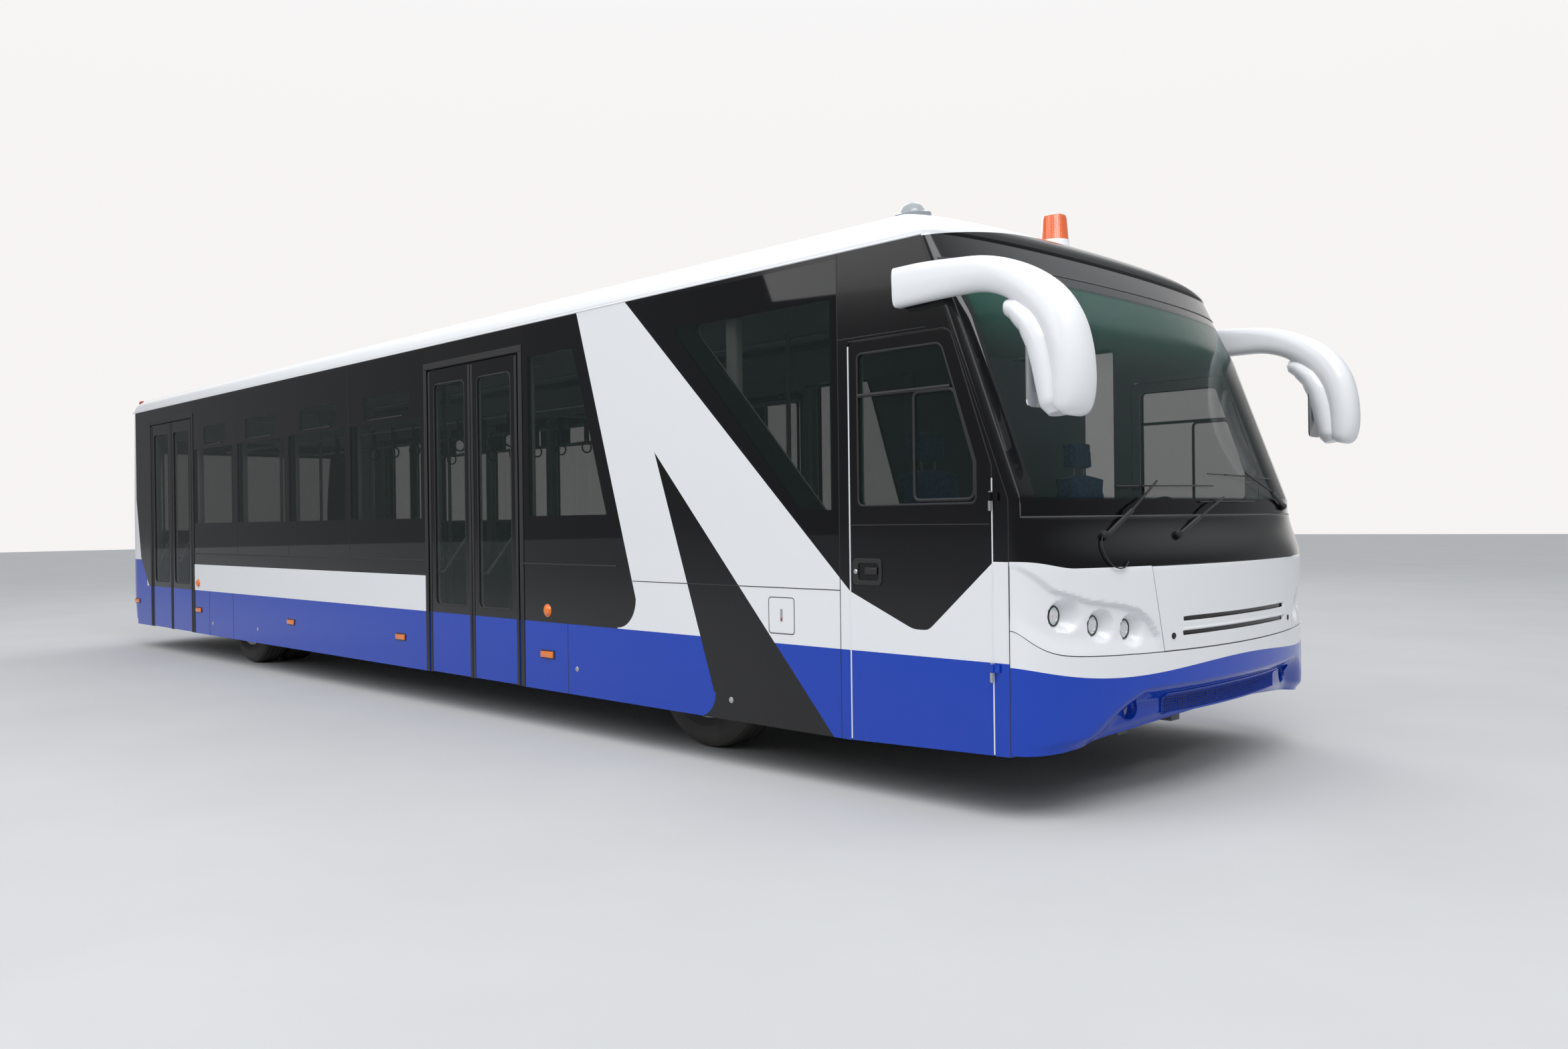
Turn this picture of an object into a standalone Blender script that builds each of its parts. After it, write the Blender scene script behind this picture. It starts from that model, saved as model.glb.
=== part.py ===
"""Airport apron bus: a low-floor, double-ended-door passenger bus for carrying people to aircraft.

Metres. +X is forward, +Y is the bus's left, +Z is up. The origin is on the ground below the
centre of the body. Faces that touch stand SEAT apart.
"""

import math

import bmesh
import bpy
from mathutils import Matrix, Vector

# Overall
LENGTH = 13.56
WIDTH = 3.0
GUTTER_Z = 2.81  # bottom of the roof edge
ROOF_RISE = 0.23  # gutter to the crown of the roof
SKIRT_Z = 0.27  # bottom of the side panels
WALL = 0.05
SEAT = 0.0003  # gap between faces that touch
GLASS = 0.008

# Nose and tail
NOSE_DEPTH = 0.44  # body front ahead of the side seam
NOSE_TOP_BACK = 0.49  # how far the side seam leans back at the gutter
GLASS_BULGE = 0.31  # nose ahead of the side seam at the windscreen
NOSE_TOP_BULGE = 0.18  # and at the gutter
BROW_Z = (1.15, 1.45)  # the nose flattens between these
TOP_CURVE_Z = 2.40  # and again above this
LEAN_Z = 1.50  # the side seam leans back above this
WINDSCREEN_LOW_Z = 1.415
WINDSCREEN_TOP_Z = 2.62
WINDSCREEN_EDGE = 0.07  # windscreen opening inside the body side
TAIL_DEPTH = 0.62  # body rear behind the side panels
TAIL_TOP_LEAN = 0.25
BUMPER_TOP_Z = 0.775
BUMPER_RISE = 0.11  # how much higher the front bumper's edge is at its centre
BUMPER_LOW_Z = 0.307
REAR_BUMPER_TOP_Z = 0.68
REAR_WINDOW_HALF = 1.15
REAR_WINDOW_Z = (1.32, 2.42)

# Front lid
LID_HALF = (0.75, 0.836)  # half width at the bottom and the top
LID_TOP_Z = 1.172
LID_THICK = 0.02
LID_GAP = 0.008
LID_CORNER = 0.05
LID_HINGE_Y = 0.35

# Wheels
TYRE_R = 0.478
TYRE_W = 0.275
RIM_R = 0.286
FRONT_AXLE_BACK = 2.47  # behind the nose seam
REAR_AXLE_AHEAD = 3.545  # ahead of the tail
FRONT_WHEEL_INSET = 0.42  # body side to the tyre's centre
REAR_WHEEL_INSET = 0.20  # body side to the outer tyre's outer face
TWIN_PITCH = 0.31
KINGPIN_INSET = 0.57
HUB_BACK = 0.13  # hub's back face from the tyre's inner face
TWIN_HUB_BACK = 0.03
EYE_HALF = 0.065  # half height of the kingpin's eye
WHEEL_SIDES = 24

# Floors
FLOOR_Z = 0.33
FLOOR_THICK = 0.03
PLATFORM_Z = 1.02  # raised floor over the front wheels
CAB_FLOOR_Z = 0.70
SHEET = 0.03  # thickness of the wheelhouse and platform sheets
HUMP_DROP = 0.02  # engine hump in the cab, below the raised floor
PLATFORM_BACK = 3.09  # platform's rear riser behind the nose seam
CAB_FLOOR_BACK = 1.29
RAIL_Y = (0.25, 0.35)
RAIL_Z = (0.24, 0.34)
JACK_PADS_X = (-1.60, 1.90)
JACK_PAD = (0.12, 0.08, 0.012)  # length, width and depth below the rail

# Passenger doors: two leaves each, on a bent bar that swings them out and along the body
DOOR_TOP_Z = 2.62
MID_DOOR = (5.39, 4.09)  # rear and front edge behind the nose seam
REAR_DOOR = (1.175, 2.515)  # rear and front edge ahead of the tail
LEAF_THICK = 0.04
LEAF_JAMB_GAP = 0.02
LEAF_GAP = 0.005
ARM_R = 0.012
ARM_SHAFT = (0.06, -0.112)  # from the jamb's outer corner: along the body, outward
ARM_LENGTH = 0.30
ARM_REST = 10.0  # degrees from the body side
ARM_SWING = 140.0
ARM_ELBOW = (0.1434, -42.0)  # reach and angle at rest
ARM_LOW_Z = 0.275
ARM_HIGH_Z = 2.52
HEADER_Z = 2.54  # underside of the beam that carries the arms
DOOR_STEP = 0.14  # floor edge inside the body side at a doorway

# Cab doors, hinged at their front edge
CAB_DOOR = (0.975, 0.095)  # rear and front edge behind the nose seam
CAB_DOOR_TOP_Z = 2.33
CAB_DOOR_BEND_Z = 1.66
CAB_DOOR_LEAN = 0.228
CAB_DOOR_GAP = 0.005
HINGE_OUT = 0.012  # hinge line outside the body side
HINGE_R = 0.01
HINGE_Z = (0.693, 1.493)

# Windows: bottom of the side glass and edges of the window openings
SILL_Z = 1.14
POLE_TOP_Z = 2.88
PANE_EDGE = 0.06
PANE_TOP_Z = 2.60
MAIN_GLASS = (2.515, 5.44)  # rear edge ahead of the tail, front edge behind the nose seam
MAIN_PANES = 4
MID_GLASS = (4.04, 2.85, 3.37)  # rear, front at the sill, front at the top, behind the seam
FRONT_GLASS = (2.79, 1.066, 1.055)  # rear at the top, rear at the sill, front edge

PARTS = bpy.data.collections.new("airport_bus")
CUTTERS = bpy.data.collections.new("cutters")

HALF = WIDTH / 2
SEAM_X = LENGTH / 2 - NOSE_DEPTH
TAIL_X = -LENGTH / 2
TAIL_SEAM_X = TAIL_X + TAIL_DEPTH
WALL_Y = HALF - WALL
BEACON_X = SEAM_X - 0.67
BEACON_Z = GUTTER_Z + ROOF_RISE * 0.88
FRONT_AXLE_X = SEAM_X - FRONT_AXLE_BACK
REAR_AXLE_X = TAIL_X + REAR_AXLE_AHEAD
SIDES = {"right": -1, "left": 1}

COLOURS = {
    "white": ((0.80, 0.82, 0.85), 0.3, 0.0),
    "blue": ((0.003, 0.04, 0.45), 0.3, 0.0),
    "black": ((0.01, 0.01, 0.012), 0.2, 0.0),
    "glass": ((0.02, 0.03, 0.03), 0.05, 0.0),
    "grey": ((0.25, 0.26, 0.27), 0.6, 0.0),
    "steel": ((0.35, 0.36, 0.37), 0.4, 0.8),
    "rubber": ((0.02, 0.02, 0.02), 0.8, 0.0),
    "cloth": ((0.03, 0.08, 0.25), 0.9, 0.0),
    "amber": ((0.8, 0.2, 0.01), 0.3, 0.0),
}


def material(colour):
    """One Principled material for each colour name."""
    if colour not in bpy.data.materials:
        rgb, roughness, metallic = COLOURS[colour]
        made = bpy.data.materials.new(colour)
        made.use_nodes = True
        shader = made.node_tree.nodes["Principled BSDF"]
        shader.inputs["Base Color"].default_value = (*rgb, 1)
        shader.inputs["Roughness"].default_value = roughness
        shader.inputs["Metallic"].default_value = metallic
    return bpy.data.materials[colour]


def finish(piece, colour):
    """Give a piece its material and put it among the bus's parts."""
    piece.data.materials.clear()
    piece.data.materials.append(material(colour))
    CUTTERS.objects.unlink(piece)
    PARTS.objects.link(piece)
    piece.hide_render = False
    piece.display_type = "TEXTURED"
    return piece


def add(name, data):
    """A new object; it stays a cutter until finish() makes it a part."""
    made = bpy.data.objects.new(name, data)
    made.hide_render = True
    made.display_type = "WIRE"
    CUTTERS.objects.link(made)
    return made


def from_bmesh(name, bm):
    data = bpy.data.meshes.new(name)
    bm.to_mesh(data)
    bm.free()
    return add(name, data)


def box(name, low, high):
    """Axis-aligned box between two corners."""
    low, high = Vector(low), Vector(high)
    bm = bmesh.new()
    place = Matrix.LocRotScale((low + high) / 2, None, high - low)
    bmesh.ops.create_cube(bm, size=1, matrix=place)
    return from_bmesh(name, bm)


def rod(name, start, end, radius, sides=12):
    """Round bar between two points."""
    start, end = Vector(start), Vector(end)
    along = end - start
    turn = along.to_track_quat("Z", "Y").to_matrix().to_4x4()
    bm = bmesh.new()
    bmesh.ops.create_cone(
        bm,
        cap_ends=True,
        segments=sides,
        radius1=radius,
        radius2=radius,
        depth=along.length,
        matrix=Matrix.Translation((start + end) / 2) @ turn,
    )
    return from_bmesh(name, bm)


def rounded(corners, steps=3):
    """Corners (a, b) or (a, b, radius) as points, with each round corner an arc."""
    points = []
    for i, corner in enumerate(corners):
        tip = Vector(corner[:2])
        if len(corner) == 2:
            points.append(tip)
            continue
        back = (Vector(corners[i - 1][:2]) - tip).normalized()
        ahead = (Vector(corners[(i + 1) % len(corners)][:2]) - tip).normalized()
        half = back.angle(ahead) / 2
        centre = tip + (back + ahead).normalized() * corner[2] / math.sin(half)
        first = tip + back * corner[2] / math.tan(half) - centre
        last = tip + ahead * corner[2] / math.tan(half) - centre
        turn = math.atan2(first.cross(last), first.dot(last))
        for k in range(steps + 1):
            points.append(centre + Matrix.Rotation(turn * k / steps, 2) @ first)
    return points


PLANES = {
    "XY": Matrix(((1, 0, 0), (0, 1, 0), (0, 0, 1))),
    "XZ": Matrix(((1, 0, 0), (0, 0, -1), (0, 1, 0))),
    "YZ": Matrix(((0, 0, 1), (1, 0, 0), (0, 1, 0))),
}


def prism(name, corners, plane, low, high):
    """Flat outline in a plane, extruded along the third axis from low to high."""
    outline = bpy.data.curves.new(name, "CURVE")
    outline.dimensions = "2D"
    outline.fill_mode = "BOTH"
    outline.extrude = abs(high - low) / 2
    points = rounded(corners)
    spline = outline.splines.new("POLY")
    spline.points.add(len(points) - 1)
    for point, (a, b) in zip(spline.points, points):
        point.co = (a, b, 0, 1)
    spline.use_cyclic_u = True
    made = add(name, outline)
    third = {"XY": 2, "XZ": 1, "YZ": 0}[plane]
    middle = Vector((0, 0, 0))
    middle[third] = (low + high) / 2
    made.matrix_world = Matrix.Translation(middle) @ PLANES[plane].to_4x4()
    return as_mesh(made)


def as_mesh(curve):
    """Turn a curve object into a closed mesh object with the same name and place."""
    bpy.context.view_layer.update()
    graph = bpy.context.evaluated_depsgraph_get()
    data = bpy.data.meshes.new_from_object(curve.evaluated_get(graph))
    bm = bmesh.new()
    bm.from_mesh(data)
    bmesh.ops.remove_doubles(bm, verts=bm.verts, dist=0.00005)
    bm.transform(curve.matrix_world)
    bmesh.ops.recalc_face_normals(bm, faces=bm.faces)
    name = curve.name
    bpy.data.objects.remove(curve)
    bpy.data.meshes.remove(data)
    return from_bmesh(name, bm)


def tube(name, path, radius, bend=0.03):
    """Round bar along a path of points, with its inner corners rounded."""
    path = [Vector(point) for point in path]
    points = [path[0]]
    for before, tip, after in zip(path, path[1:], path[2:]):
        start = tip + (before - tip).normalized() * bend
        end = tip + (after - tip).normalized() * bend
        for k in range(4):
            t = k / 3
            points.append(start * (1 - t) ** 2 + tip * 2 * t * (1 - t) + end * t**2)
    points.append(path[-1])
    data = bpy.data.curves.new(name, "CURVE")
    data.dimensions = "3D"
    data.bevel_depth = radius
    data.bevel_resolution = 2
    data.use_fill_caps = True
    spline = data.splines.new("POLY")
    spline.points.add(len(points) - 1)
    for point, place in zip(spline.points, points):
        point.co = (*place, 1)
    return as_mesh(add(name, data))


def turned(name, profile, centre, outward, sides=WHEEL_SIDES):
    """Profile of (radius, height) points, outer side running down, turned about an axis."""
    bm = bmesh.new()
    ring = [bm.verts.new((r, 0, h)) for r, h in profile]
    for a, b in zip(ring, ring[1:]):
        bm.edges.new((a, b))
    made = from_bmesh(name, bm)
    screw = made.modifiers.new("turn", "SCREW")
    screw.steps = sides
    screw.render_steps = sides
    screw.use_merge_vertices = True
    screw.merge_threshold = 0.0001
    turn = Vector(outward).to_track_quat("Z", "Y")
    made.matrix_world = Matrix.LocRotScale(Vector(centre), turn, None)
    return made


def combine(piece, tools, operation):
    """Cut, join or intersect a piece with tools."""
    for tool in tools:
        step = piece.modifiers.new(tool.name, "BOOLEAN")
        step.operation = operation
        step.object = tool
        step.solver = "EXACT"
    return piece


def cut(piece, *tools):
    return combine(piece, tools, "DIFFERENCE")


def join(piece, *tools):
    return combine(piece, tools, "UNION")


def keep(piece, *tools):
    return combine(piece, tools, "INTERSECT")


def seam_x(z):
    """Where the body side meets the nose, leaning back above the waist."""
    return SEAM_X - NOSE_TOP_BACK * max(0, z - LEAN_Z) / (GUTTER_Z - LEAN_Z)


def nose_bulge(z):
    """How far the middle of the nose stands ahead of its side seam at a height."""
    brow = min(max((z - BROW_Z[0]) / (BROW_Z[1] - BROW_Z[0]), 0), 1)
    top = max(0, z - TOP_CURVE_Z) / (GUTTER_Z - TOP_CURVE_Z)
    glass = GLASS_BULGE + (NOSE_TOP_BULGE - GLASS_BULGE) * top
    return NOSE_DEPTH + (glass - NOSE_DEPTH) * brow


def nose_plan(z, inset=0.0, setback=0.0, steps=8):
    """Half ellipse of the nose at a height, from the right body side round to the left."""
    bulge = nose_bulge(z)
    back = seam_x(z) - setback
    turns = [k / steps * math.pi / 2 for k in range(-steps, steps + 1)]
    return [(back + bulge * math.cos(t), (HALF - inset) * math.sin(t)) for t in turns]


def tail_plan(z, inset=0.0, setback=0.0, steps=8):
    """Plan of the tail at a height, from the left body side round to the right."""
    if z < REAR_BUMPER_TOP_Z:
        lean = 0.9 * ((REAR_BUMPER_TOP_Z - z) / REAR_BUMPER_TOP_Z) ** 2
    else:
        lean = TAIL_TOP_LEAN * (max(0, z - 1.64) / (GUTTER_Z - 1.64)) ** 1.3
    bulge = TAIL_DEPTH - min(lean, TAIL_TOP_LEAN)
    points = []
    for k in range(-steps, steps + 1):
        t = -k / steps * math.pi / 2
        across = math.copysign(abs(math.sin(t)) ** 0.4, t)
        points.append((TAIL_SEAM_X + setback - bulge * abs(math.cos(t)), (HALF - inset) * across))
    return points


def loft(name, rows, thickness, closed=False):
    """Surface through rows of points with equal counts, thickened inward."""
    bm = bmesh.new()
    grid = [[bm.verts.new(point) for point in row] for row in rows]
    for low, high in zip(grid, grid[1:]):
        count = len(low)
        for k in range(count if closed else count - 1):
            after = (k + 1) % count
            bm.faces.new((low[k], low[after], high[after], high[k]))
    if closed:
        bm.faces.new(grid[-1])
    made = from_bmesh(name, bm)
    skin = made.modifiers.new("thickness", "SOLIDIFY")
    skin.thickness = thickness
    skin.offset = -1
    return made


def nose_shell(name, heights, thickness):
    """Band of the nose between heights, cut off where the side panels begin."""
    rows = [[(x, y, z) for x, y in nose_plan(z)] for z in heights]
    shell = loft(name, rows, thickness)
    behind = [(SEAM_X - 2, -1), (SEAM_X + SEAT, -1), (SEAM_X + SEAT, LEAN_Z)]
    behind += [(seam_x(GUTTER_Z + 1) + SEAT, GUTTER_Z + 1), (SEAM_X - 2, GUTTER_Z + 1)]
    return cut(shell, prism(name + "_seam", behind, "XZ", -HALF - 1, HALF + 1))


def tail_shell(name, heights, thickness):
    rows = [[(x, y, z) for x, y in tail_plan(z)] for z in heights]
    shell = loft(name, rows, thickness)
    front = (TAIL_SEAM_X + 1, HALF + 1, GUTTER_Z + 1)
    return cut(shell, box(name + "_seam", (TAIL_SEAM_X - SEAT, -HALF - 1, -1), front))


def spread(low, high, count):
    return [low + (high - low) * k / (count - 1) for k in range(count)]


def door_openings():
    """Passenger doorways as (name, rear edge, front edge) in x."""
    mid = ("mid", SEAM_X - MID_DOOR[0], SEAM_X - MID_DOOR[1])
    rear = ("rear", TAIL_X + REAR_DOOR[0], TAIL_X + REAR_DOOR[1])
    return [mid, rear]


def span(side, near, far):
    """The y range between two distances from the centre line, on one side."""
    return sorted((side * near, side * far))


def window_regions():
    """Outlines of the three bonded side glasses in x and z."""
    top = GUTTER_Z - 0.03
    rear = TAIL_X + MAIN_GLASS[0]
    front = SEAM_X - MAIN_GLASS[1]
    mid = [SEAM_X - back for back in MID_GLASS]
    nose = [SEAM_X - back for back in FRONT_GLASS]
    return {
        "main": [(rear, SILL_Z), (front, SILL_Z), (front, top), (rear, top)],
        "mid": [(mid[0], SILL_Z), (mid[1], SILL_Z), (mid[2], top), (mid[0], top)],
        "front": [(nose[1], SILL_Z), (nose[2], SILL_Z), (nose[2], top), (nose[0], top)],
    }


def pane_openings():
    """Rounded window openings through the side wall, inside the glass regions."""
    regions = window_regions()
    low, high = SILL_Z + PANE_EDGE, PANE_TOP_Z
    rear, front = regions["main"][0][0], regions["main"][1][0]
    width = (front - rear) / MAIN_PANES
    r = 0.05
    panes = []
    for k in range(MAIN_PANES):
        a = rear + k * width + PANE_EDGE
        b = rear + (k + 1) * width - PANE_EDGE
        panes.append([(a, low, r), (b, low, r), (b, high, r), (a, high, r)])
    a, b = regions["mid"][0][0] + PANE_EDGE, regions["mid"][1][0] - 1.3 * PANE_EDGE
    lean = (regions["mid"][1][0] - regions["mid"][2][0]) / (regions["mid"][2][1] - SILL_Z)
    top = b - lean * (high - low)
    panes.append([(a, low, r), (b, low, r), (top, high, r), (a, high, r)])
    b = regions["front"][1][0] - PANE_EDGE
    lean = (regions["front"][0][0] - regions["front"][3][0]) / (regions["front"][3][1] - SILL_Z)
    foot = low + 0.25
    a = b - lean * (high - foot) + PANE_EDGE
    panes.append([(b - 0.05, foot), (b, foot), (b, high, r), (a, high, r)])
    return panes


def cab_door_outline(gap):
    """Cab door in x and z, grown by a gap all round."""
    rear = SEAM_X - CAB_DOOR[0] - gap
    front = SEAM_X - CAB_DOOR[1] + gap
    top = CAB_DOOR_TOP_Z + gap
    low = SKIRT_Z
    return [
        (rear, low + 0.001 * (1 - gap / CAB_DOOR_GAP)),
        (front, low + 0.034),
        (front, CAB_DOOR_BEND_Z),
        (front - CAB_DOOR_LEAN, top, 0.06),
        (rear, top, 0.03),
    ]


def side_wall(name, side):
    low, high = span(side, WALL_Y, HALF)
    outline = [
        (TAIL_SEAM_X, SKIRT_Z),
        (SEAM_X - 0.98, SKIRT_Z),
        (SEAM_X - SEAT, BUMPER_LOW_Z),
        (SEAM_X - SEAT, LEAN_Z),
        (seam_x(GUTTER_Z) - SEAT, GUTTER_Z - SEAT),
        (TAIL_SEAM_X, GUTTER_Z - SEAT),
    ]
    wall = prism(f"side_wall_{name}", outline, "XZ", low, high)
    inner, front_edge, outer = HALF - 0.20, HALF - 0.09, WALL_Y + 0.01
    low_z, step_z, top_z = HEADER_Z, DOOR_TOP_Z + 0.01, GUTTER_Z - 0.02
    beam = [(inner, low_z), (front_edge, low_z), (front_edge, step_z)]
    beam += [(outer, step_z), (outer, top_z), (inner, top_z)]
    beam = [(side * y, z) for y, z in beam]
    for door, rear, front in door_openings():
        over = prism(f"{name}_{door}_header", beam, "YZ", rear - 0.03, front + 0.03)
        join(wall, over)
        doorway_low, doorway_high = span(side, WALL_Y - 0.004, HALF + 0.1)
        cut(
            wall,
            box(
                f"{name}_{door}_doorway",
                (rear, doorway_low, SKIRT_Z - 0.1),
                (front, doorway_high, DOOR_TOP_Z),
            ),
        )
    through = span(side, WALL_Y - 0.02, HALF + 0.02)
    doorway = cab_door_outline(CAB_DOOR_GAP)
    doorway[0] = (doorway[0][0], SKIRT_Z - 0.1)
    doorway[1] = (doorway[1][0], SKIRT_Z - 0.1)
    cut(wall, prism(f"{name}_cab_doorway", doorway, "XZ", *through))
    for z in HINGE_Z:
        join(wall, *hinge_half(f"{name}_pillar_hinge_{z}", side, z + SEAT, z + 0.04, 1))
    recess = span(side, HALF - GLASS - SEAT, HALF + 0.02)
    for region, corners in window_regions().items():
        middle = sum((Vector(corner) for corner in corners), Vector((0, 0))) / len(corners)
        grown = [Vector(c) + (Vector(c) - middle).normalized() * 2 * SEAT for c in corners]
        cut(wall, prism(f"{name}_{region}_recess", [tuple(c) for c in grown], "XZ", *recess))
    for k, pane in enumerate(pane_openings()):
        cut(wall, prism(f"{name}_pane_{k}", pane, "XZ", *through))
    arch_low, arch_high = span(side, WALL_Y - 0.02, HALF - 0.02)
    reach = wheel_reach()
    cut(
        wall,
        box(
            f"{name}_arch",
            (FRONT_AXLE_X - reach, arch_low, SKIRT_Z - 0.1),
            (FRONT_AXLE_X + reach, arch_high, PLATFORM_Z - SHEET),
        ),
    )
    return finish(wall, "white")


def wheel_reach():
    """How far a steered tyre reaches ahead of its axle, with clearance."""
    outer = FRONT_WHEEL_INSET - KINGPIN_INSET - TYRE_W / 2
    return math.hypot(TYRE_R, outer) + 0.03


def side_glass(name, side):
    low, high = span(side, HALF - GLASS, HALF)
    for region, corners in window_regions().items():
        finish(prism(f"{region}_glass_{name}", corners, "XZ", low, high), "glass")


def roof():
    """Domed roof with a small radius at the gutter and a longer fall at the nose."""
    rows = []
    for rise, inset, setback in (
        (0.0, 0.0, 0.0),
        (0.08, 0.0, 0.0),
        (0.33, 0.022, 0.03),
        (0.56, 0.075, 0.13),
        (0.68, 0.155, 0.27),
        (0.86, 0.60, 0.62),
        (1.0, 1.10, 1.05),
    ):
        z = GUTTER_Z + ROOF_RISE * rise
        front = nose_plan(GUTTER_Z, inset, setback)
        rear = tail_plan(GUTTER_Z, inset, inset * 0.8)
        rows.append([(x, y, z) for x, y in front + rear])
    made = loft("roof", rows, 0.05, closed=True)
    foot = (BEACON_X, 0, BEACON_Z - 0.05)
    join(made, rod("beacon_pad", foot, (BEACON_X, 0, BEACON_Z), 0.09, 20))
    finish(made, "white")


def nose():
    """Front mask with the windscreen's opening, windscreen, bumper and lid."""
    lid_gap = LID_GAP
    low = BUMPER_TOP_Z + SEAT
    top = GUTTER_Z - SEAT
    brow = spread(*BROW_Z, 3)
    heights = [low, *brow, LEAN_Z, 1.95, TOP_CURVE_Z, 2.70, top]
    mask = nose_shell("front_mask", heights, WALL)
    opening = HALF - WINDSCREEN_EDGE
    window = [(-opening, WINDSCREEN_LOW_Z, 0.04), (opening, WINDSCREEN_LOW_Z, 0.04)]
    window += [(opening - 0.06, WINDSCREEN_TOP_Z, 0.12), (0.06 - opening, WINDSCREEN_TOP_Z, 0.12)]
    reach = (SEAM_X - 1.2, SEAM_X + 2)
    cut(mask, prism("windscreen_opening", window, "YZ", *reach))
    lid_low, lid_high = LID_HALF
    hole = [
        (-lid_low - lid_gap, BUMPER_TOP_Z - 0.1),
        (lid_low + lid_gap, BUMPER_TOP_Z - 0.1),
        (lid_low + lid_gap, BUMPER_TOP_Z),
        (lid_high + lid_gap, LID_TOP_Z + lid_gap, LID_CORNER),
        (-lid_high - lid_gap, LID_TOP_Z + lid_gap, LID_CORNER),
        (-lid_low - lid_gap, BUMPER_TOP_Z),
    ]
    cut(mask, prism("lid_opening", hole, "YZ", *reach))
    finish(mask, "white")

    glass = nose_shell("windscreen", heights[2:], GLASS)
    pane = [
        (a + math.copysign(SEAT, -a), b + math.copysign(SEAT, 2 - b), r) for a, b, r in window
    ]
    finish(keep(glass, prism("windscreen_pane", pane, "YZ", *reach)), "glass")

    lid = nose_shell("front_lid", [BUMPER_TOP_Z - 0.05, 1.0, LID_TOP_Z + 0.05], LID_THICK)
    shape = [
        (-lid_low, BUMPER_TOP_Z + lid_gap),
        (lid_low, BUMPER_TOP_Z + lid_gap),
        (lid_high, LID_TOP_Z, LID_CORNER),
        (-lid_high, LID_TOP_Z, LID_CORNER),
    ]
    keep(lid, prism("lid_shape", shape, "YZ", *reach))
    tab_x = SEAM_X + NOSE_DEPTH - 0.042
    tab_z = (LID_TOP_Z - 0.01, LID_TOP_Z + lid_gap - SEAT)
    for y in (-LID_HINGE_Y, LID_HINGE_Y):
        tab = ((tab_x, y - 0.04, tab_z[0]), (tab_x + 0.015, y + 0.04, tab_z[1]))
        join(lid, box(f"lid_hinge_{y}", *tab))
    finish(lid, "white")

    bumper = nose_shell("front_bumper", [BUMPER_LOW_Z - 0.03, 0.55, BUMPER_TOP_Z], WALL)
    edge = [(-HALF - 0.1, 0), (HALF + 0.1, 0)]
    for k in range(8, -9, -1):
        y = HALF * k / 8
        edge.append((y * 1.05, BUMPER_LOW_Z + BUMPER_RISE * (1 - (y / HALF) ** 2)))
    cut(bumper, prism("bumper_edge", edge, "YZ", *reach))
    finish(bumper, "blue")


def tail():
    """Rear wall with its window, and the rear bumper."""
    low = REAR_BUMPER_TOP_Z + SEAT
    heights = [low, 1.2, 1.64] + spread(1.64, GUTTER_Z - SEAT, 4)[1:]
    wall = tail_shell("rear_wall", heights, WALL)
    a, (low_z, high_z) = REAR_WINDOW_HALF, REAR_WINDOW_Z
    window = [(-a, low_z, 0.08), (a, low_z, 0.08), (a, high_z, 0.08), (-a, high_z, 0.08)]
    reach = (TAIL_X - 1, TAIL_SEAM_X - 0.05)
    cut(wall, prism("rear_window_opening", window, "YZ", *reach))
    finish(wall, "white")
    glass = tail_shell("rear_window", heights, GLASS)
    pane = [
        (y + math.copysign(SEAT, -y), z + math.copysign(SEAT, 2 - z), r) for y, z, r in window
    ]
    finish(keep(glass, prism("rear_pane", pane, "YZ", *reach)), "glass")
    bumper = tail_shell("rear_bumper", [0.33, 0.36, 0.45, 0.57, 0.67, 0.75], WALL)
    above = (TAIL_SEAM_X + 0.1, HALF + 0.1, 1)
    cut(bumper, box("rear_bumper_top", (TAIL_X - 0.1, -HALF - 0.1, REAR_BUMPER_TOP_Z), above))
    finish(bumper, "blue")


def floor():
    """Low floor with the rear wheelhouses, on two long rails."""
    z = FLOOR_Z - FLOOR_THICK
    edge = WALL_Y - SEAT
    front = SEAM_X - PLATFORM_BACK - SEAT
    plan = [(TAIL_X + 0.33, -edge + 0.16), (TAIL_SEAM_X, -edge), (front, -edge)]
    plan += [(front, edge), (TAIL_SEAM_X, edge), (TAIL_X + 0.33, edge - 0.16)]
    deck = prism("floor_deck", plan, "XY", z, FLOOR_Z)
    for way in (-1, 1):
        low, high = span(way, *RAIL_Y)
        rail = ((TAIL_X + 0.5, low, RAIL_Z[0]), (SEAM_X - 0.1, high, RAIL_Z[1]))
        join(deck, box(f"rail_{way}", *rail))
        middle = (low + high) / 2
        for x in JACK_PADS_X:
            reach_x, reach_y, depth = JACK_PAD[0] / 2, JACK_PAD[1] / 2, JACK_PAD[2]
            foot = (x - reach_x, middle - reach_y, RAIL_Z[0] - depth)
            head = (x + reach_x, middle + reach_y, RAIL_Z[0] + 0.01)
            join(deck, box(f"jack_pad_{way}_{x}", foot, head))
    half_x = TYRE_R + 0.08
    inner = HALF - REAR_WHEEL_INSET - TYRE_W - TWIN_PITCH - 0.095
    for way in (-1, 1):
        low, high = span(way, inner, edge)
        house = (
            (REAR_AXLE_X - half_x - SHEET, low, z),
            (REAR_AXLE_X + half_x + SHEET, high, PLATFORM_Z),
        )
        join(deck, box(f"wheelhouse_{way}", *house))
    for way in (-1, 1):
        low, high = span(way, inner + SHEET, edge + 0.1)
        hollow = (
            (REAR_AXLE_X - half_x, low, z - 0.1),
            (REAR_AXLE_X + half_x, high, PLATFORM_Z - SHEET),
        )
        cut(deck, box(f"wheelhouse_hollow_{way}", *hollow))
        for door, rear, front in door_openings():
            low, high = span(way, HALF - DOOR_STEP, edge + 0.1)
            notch = ((rear - 0.02, low, z - 0.1), (front + 0.02, high, FLOOR_Z + 0.1))
            cut(deck, box(f"{door}_step_{way}", *notch))
    finish(deck, "grey")


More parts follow.
